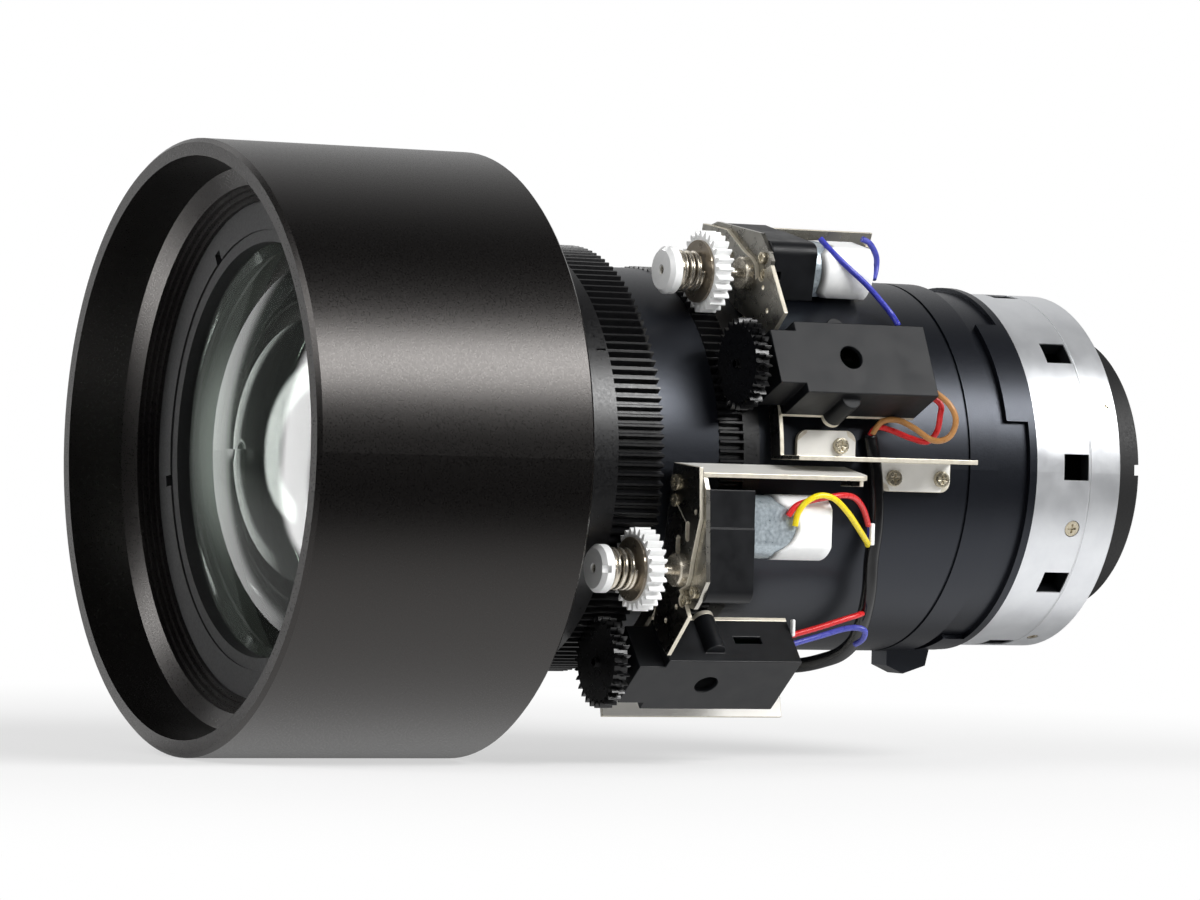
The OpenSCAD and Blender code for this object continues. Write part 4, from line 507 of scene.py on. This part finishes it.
class LENS_OT_sensor_tips(bpy.types.Operator):
    """Adds the brass tip of each position sensor's shaft, with its chamfer"""
    bl_idname = "lens.sensor_tips"
    bl_label = "Sensor shaft tips"

    def execute(self, context):
        radius = context.scene.lens_sizes.tip_radius
        for body, node in (("focus_sensor", "focus_sensor_gear"), ("zoom_sensor", "zoom_sensor_gear")):
            low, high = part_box(node)
            x, z = (low.x + high.x) / 2, (low.z + high.z) / 2
            bm = bmesh.new()
            bmesh.ops.create_cone(bm, cap_ends=True, segments=32, radius1=radius, radius2=radius, depth=0.8 * MM,
                                  matrix=Matrix.Rotation(math.radians(90), 4, "X"))
            caps = [e for e in bm.edges if e.calc_face_angle(0) > 1]
            bmesh.ops.bevel(bm, geom=caps, offset=0.15 * MM, segments=2, affect="EDGES", profile=0.5, material=-1)
            bmesh.ops.translate(bm, vec=(x, low.y + 0.4 * MM, z), verts=bm.verts)
            piece(body + "_shaft_tip", bm, "brass", body)
        return {"FINISHED"}


class LENS_OT_springs(bpy.types.Operator):
    """Winds the round wire spring of each clutch"""
    bl_idname = "lens.springs"
    bl_label = "Clutch springs"

    def execute(self, context):
        wire = context.scene.lens_sizes.spring_wire / 2
        for body in ("focus_drive", "zoom_drive"):
            node = body.replace("drive", "clutch_spring")
            low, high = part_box(node)
            x, z = (low.x + high.x) / 2, (low.z + high.z) / 2
            mean = (high.x - low.x) / 2 - wire
            turns, steps = 4, 48
            path = []
            for i in range(turns * steps + 1):
                part = i / steps
                rise = min(max(part - 0.5, 0) / (turns - 1), 1)
                angle = 2 * math.pi * part
                path.append(Vector((x + mean * math.cos(angle), low.y + wire + (high.y - low.y - 2 * wire) * rise,
                                    z + mean * math.sin(angle))))
            spring = tube(body + "_spring", path, wire, "spring", body)
            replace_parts(spring, node)
        return {"FINISHED"}


class LENS_OT_brackets(bpy.types.Operator):
    """Rounds the corners of the sheet brackets, brightens their cut edges and paints the faces that look towards the
    key light paler, a painted highlight
    """
    bl_idname = "lens.brackets"
    bl_label = "Brackets and screws"

    def execute(self, context):
        for node in ("focus_bracket", "zoom_bracket"):
            softened(node, "plated", "barrel", 0.1 * MM, ("cut_edge", "plate_painted_lit"),
                     TAB_CORNERS[node])
        softened("bracket_screws", "screw", "barrel", 0.12 * MM, smooth=35)
        return {"FINISHED"}


class LENS_OT_mouldings(bpy.types.Operator):
    """Eases the edges of the black moulded covers and gearboxes"""
    bl_idname = "lens.mouldings"
    bl_label = "Mouldings"

    def execute(self, context):
        for node in ("focus_sensor_cover", "zoom_sensor_cover", "focus_gearbox_case", "zoom_gearbox_case"):
            softened(node, "moulded", "barrel", 0.18 * MM)
        return {"FINISHED"}


class LENS_OT_lead_joint(bpy.types.Operator):
    """Adds the blue and white wrap where the motor leads join the sleeve, and the white insulator at the sensor"""
    bl_idname = "lens.lead_joint"
    bl_label = "Lead joint"

    def execute(self, context):
        parts = (
            ("lead_joint_blue", "blue", (0.95, 1.0, 4.4), (40.35, -40.6, -13.3), "blue_lead"),
            ("lead_joint_white", "paper", (0.8, 1.0, 4.4), (41.1, -40.6, -13.3), "blue_lead"),
            ("sensor_insulator", "paper", (1.2, 0.7, 3.4), (35.4, -54.8, -32.2), "salmon_lead"),
        )
        for name, key, sides, spot, slot in parts:
            bm = bmesh.new()
            bmesh.ops.create_cube(bm, size=1.0)
            bmesh.ops.scale(bm, vec=Vector(sides) * MM, verts=bm.verts)
            bmesh.ops.bevel(bm, geom=list(bm.edges), offset=0.25 * MM, segments=3, affect="EDGES", profile=0.5,
                            material=-1)
            bmesh.ops.translate(bm, vec=Vector(spot) * MM, verts=bm.verts)
            piece(name, bm, key, "barrel")
        return {"FINISHED"}


class LENS_OT_finishes(bpy.types.Operator):
    """Gives every solid its real finish"""
    bl_idname = "lens.finishes"
    bl_label = "Finishes"

    def execute(self, context):
        dress("anodised", "hood")
        dress("anodised_matt", "main_barrel", "front_sleeve")
        dress("flock", "front_barrel", "front_retaining_ring", "front_spacers", "guide_tube", "variator_cell",
              "compensator_cell", "rear_ring", "rear_retaining_ring")
        dress("ring", "focus_ring", "zoom_ring")
        dress("spigot", "mount_spigot")
        dress("glass_haze_and_painted_glare", "front_lens")
        dress("glass", "second_lens", "rear_lens")
        dress("glass_inner", "variator_lens", "compensator_lens")
        dress("screw", "spigot_screws")
        dress("plated", "gearbox_plates")
        dress("bush", "drive_bushes")
        dress("gear_black", "focus_sensor_gear", "zoom_sensor_gear")
        dress("can", "focus_motor_can", "zoom_motor_can")
        dress("nylon", "focus_drive_gear", "zoom_drive_gear", "focus_clutch_cap", "zoom_clutch_cap",
              "motor_end_caps", "focus_reduction_gear", "zoom_reduction_gear")
        dress("spring", "focus_drive_shaft", "zoom_drive_shaft", "zoom_drive_pins", "variator_pins",
              "compensator_pins", "focus_motor_rotor", "zoom_motor_rotor")
        dress("washer", "focus_clutch_washer", "zoom_clutch_washer")
        dress("bronze", "cam_tube")
        dress("board", "sensor_potentiometers")
        return {"FINISHED"}


def area_light(name, place, aim, wide, high, watts):
    """A rectangular soft box that looks at a point."""
    data = bpy.data.lights.new(name, "AREA")
    data.shape, data.size, data.size_y, data.energy = "RECTANGLE", wide, high, watts
    lamp = bpy.data.objects.new(name, data)
    bpy.context.scene.collection.objects.link(lamp)
    lamp.location = place
    lamp.rotation_euler = (Vector(aim) - Vector(place)).to_track_quat("-Z", "Y").to_euler()
    return lamp


def tall_screen(tree, direction, strength, rear, front, side):
    """A tall white screen as a brightness by direction, with soft edges.
    rear and front are the Y where each edge starts and ends, side is the X where the screen starts and is full."""
    split = add(tree, "ShaderNodeSeparateXYZ", {"Vector": direction})
    parts = [add(tree, "ShaderNodeMapRange", {"Value": split.outputs[axis]},
                 {"From Min": edge[0], "From Max": edge[1], "To Min": 0.0, "To Max": top},
                 interpolation_type="SMOOTHSTEP").outputs[0]
             for axis, edge, top in (("Y", rear, 1.0), ("Y", front, 1.0), ("X", side, strength))]
    band = add(tree, "ShaderNodeMath", {0: parts[0], 1: parts[1]}, operation="MULTIPLY")
    return add(tree, "ShaderNodeMath", {0: band.outputs[0], 1: parts[2]}, operation="MULTIPLY").outputs[0]


def screens(tree, direction, light):
    """The two screens that the glass mirrors: one at the lens's far side, one narrow and bright in front."""
    far = tall_screen(tree, direction, light.glow, (-0.10, -0.20), (-0.43, -0.34), (-0.4, -0.7))
    strip = tall_screen(tree, direction, light.strip, (-0.74, -0.79), (-0.90, -0.86), (-0.15, -0.3))
    return add(tree, "ShaderNodeMath", {0: far, 1: strip}, operation="ADD").outputs[0]


class LENS_OT_stage(bpy.types.Operator):
    """Lays the pale floor and lights the lens with soft boxes"""
    bl_idname = "lens.stage"
    bl_label = "Stage"

    def execute(self, context):
        light = context.scene.lens_light
        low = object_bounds()[0].z
        bm = bmesh.new()
        bmesh.ops.create_circle(bm, cap_ends=True, segments=96, radius=14.0)
        bmesh.ops.translate(bm, vec=(0, MIDDLE_Y, low - 0.2 * MM), verts=bm.verts)
        mesh = bpy.data.meshes.new("floor")
        bm.to_mesh(mesh)
        bm.free()
        floor = bpy.data.objects.new("floor", mesh)
        context.scene.collection.objects.link(floor)
        floor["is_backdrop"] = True
        m = bpy.data.materials.new("white_table")
        m.use_nodes = True
        t = m.node_tree
        t.nodes.clear()
        path = add(t, "ShaderNodeLightPath")
        where = add(t, "ShaderNodeTexCoord")
        split = add(t, "ShaderNodeSeparateXYZ", {"Vector": where.outputs["Object"]})
        # Painted light: for glossy and transmission rays the floor glows in place of reflecting, with a painted pool
        # of light beside the lens, a painted shadow under it, dimmer towards the front, and the two screens painted
        # in as seen from the front glass
        fade = add(t, "ShaderNodeMapRange", {"Value": split.outputs["X"]},
                   {"From Min": 0.06, "From Max": 0.19, "To Min": 1.2, "To Max": 0.01},
                   interpolation_type="SMOOTHSTEP")
        painted_shadow_under = add(t, "ShaderNodeMapRange", {"Value": split.outputs["X"]},
                    {"From Min": 0.0, "From Max": 0.028, "To Min": 0.25, "To Max": 1.0},
                    interpolation_type="SMOOTHSTEP")
        front = add(t, "ShaderNodeMapRange", {"Value": split.outputs["Y"]},
                    {"From Min": -0.5, "From Max": -0.25, "To Min": 0.1, "To Max": 1.0},
                    interpolation_type="SMOOTHSTEP")
        pool = add(t, "ShaderNodeMath", {0: fade.outputs[0], 1: painted_shadow_under.outputs[0]}, operation="MULTIPLY")
        lit = add(t, "ShaderNodeMath", {0: pool.outputs[0], 1: front.outputs[0]}, operation="MULTIPLY")
        apart = add(t, "ShaderNodeVectorMath", {0: where.outputs["Object"]}, {1: (0.0, MIDDLE_Y, low)},
                    operation="DISTANCE")
        far = add(t, "ShaderNodeMapRange", {"Value": apart.outputs["Value"]},
                  {"From Min": 0.14, "From Max": 0.34, "To Min": 0.6, "To Max": 1.0},
                  interpolation_type="SMOOTHSTEP")
        seen = add(t, "ShaderNodeMath", {0: path.outputs["Is Glossy Ray"], 1: path.outputs["Is Transmission Ray"]},
                   operation="ADD", use_clamp=True)
        near = add(t, "ShaderNodeMath", {0: path.outputs["Is Camera Ray"], 1: far.outputs[0]}, operation="MULTIPLY")
        share = add(t, "ShaderNodeMath", {0: near.outputs[0], 1: seen.outputs[0]}, operation="ADD", use_clamp=True)
        ray = add(t, "ShaderNodeVectorMath", {0: where.outputs["Object"]}, {1: (0.0, GLASS_Y, 0.0)},
                  operation="SUBTRACT")
        aim = add(t, "ShaderNodeVectorMath", {0: ray.outputs[0]}, operation="NORMALIZE")
        screen = screens(t, aim.outputs[0], light)
        whole = add(t, "ShaderNodeMath", {0: lit.outputs[0], 1: screen}, operation="ADD")
        level = add(t, "ShaderNodeMix", {"Factor": seen.outputs[0], "B": whole.outputs[0]}, {"A": 1.0})
        matt = add(t, "ShaderNodeBsdfDiffuse", values={"Color": (*light.floor, 1.0)})
        glow = add(t, "ShaderNodeEmission", {"Strength": level.outputs[0]}, {"Color": (1, 1, 1, 1)})
        mix = add(t, "ShaderNodeMixShader", {0: share.outputs[0], 1: matt.outputs[0], 2: glow.outputs[0]})
        add(t, "ShaderNodeOutputMaterial", {"Surface": mix.outputs[0]})
        mesh.materials.append(m)

        world = bpy.data.worlds.new("studio")
        context.scene.world = world
        world.use_nodes = True
        w = world.node_tree
        w.nodes.clear()
        path = add(w, "ShaderNodeLightPath")
        where = add(w, "ShaderNodeTexCoord")
        split = add(w, "ShaderNodeSeparateXYZ", {"Vector": where.outputs["Generated"]})
        behind = add(w, "ShaderNodeMapRange", {"Value": split.outputs["X"]},
                     {"From Min": 0.15, "From Max": -0.75, "To Min": 0.015, "To Max": 0.7},
                     interpolation_type="SMOOTHSTEP")
        seen = add(w, "ShaderNodeMath", {0: path.outputs["Is Glossy Ray"], 1: path.outputs["Is Transmission Ray"]},
                   operation="ADD", use_clamp=True)
        ahead = add(w, "ShaderNodeMapRange", {"Value": split.outputs["Y"]},
                    {"From Min": -0.45, "From Max": -0.1, "To Min": 0.08, "To Max": 1.0},
                    interpolation_type="SMOOTHSTEP")
        room = add(w, "ShaderNodeMath", {0: behind.outputs[0], 1: ahead.outputs[0]}, operation="MULTIPLY")
        screen = screens(w, where.outputs["Generated"], light)
        whole = add(w, "ShaderNodeMath", {0: room.outputs[0], 1: screen}, operation="ADD")
        level = add(w, "ShaderNodeMix", {"Factor": seen.outputs[0], "B": whole.outputs[0]}, {"A": 0.25})
        shown = add(w, "ShaderNodeMix", {"Factor": path.outputs["Is Camera Ray"], "A": level.outputs[0]}, {"B": 1.0})
        sky = add(w, "ShaderNodeBackground", {"Strength": shown.outputs[0]}, {"Color": (1, 1, 1, 1)})
        add(w, "ShaderNodeOutputWorld", {"Surface": sky.outputs[0]})

        area_light("key_soft_box", (0.95, 0.61, 0.7), (0, MIDDLE_Y, 0), 1.0, 0.38, light.key_watts)
        area_light("front_soft_box", (0.35, -1.3, 0.75), (0, MIDDLE_Y, 0), 0.9, 0.5, light.fill_watts)
        return {"FINISHED"}


class LENS_PT_panel(bpy.types.Panel):
    """Lists the steps that dress the lens"""
    bl_idname = "LENS_PT_panel"
    bl_label = "Projection Lens"
    bl_space_type = "VIEW_3D"
    bl_region_type = "UI"
    bl_category = "Projection Lens"

    def draw(self, context):
        for step in STEPS:
            self.layout.operator(step.bl_idname)
        for group in (context.scene.lens_sizes, context.scene.lens_light):
            for key in group.__annotations__:
                self.layout.prop(group, key)


STEPS = (LENS_OT_camera, LENS_OT_leads, LENS_OT_labels, LENS_OT_springs, LENS_OT_sensor_tips, LENS_OT_lead_joint,
         LENS_OT_brackets, LENS_OT_mouldings, LENS_OT_finishes, LENS_OT_stage)
CLASSES = (LensSizes, LensLight) + STEPS + (LENS_PT_panel,)


def register():
    for c in CLASSES:
        bpy.utils.register_class(c)
    bpy.types.Scene.lens_sizes = bpy.props.PointerProperty(type=LensSizes)
    bpy.types.Scene.lens_light = bpy.props.PointerProperty(type=LensLight)


def unregister():
    del bpy.types.Scene.lens_sizes, bpy.types.Scene.lens_light
    for c in reversed(CLASSES):
        bpy.utils.unregister_class(c)


def main():
    register()
    view = bpy.context.scene.view_settings
    view.view_transform = "Standard"
    for step in STEPS:
        group, name = step.bl_idname.split(".")
        getattr(getattr(bpy.ops, group), name)()


if __name__ == "__main__":
    main()
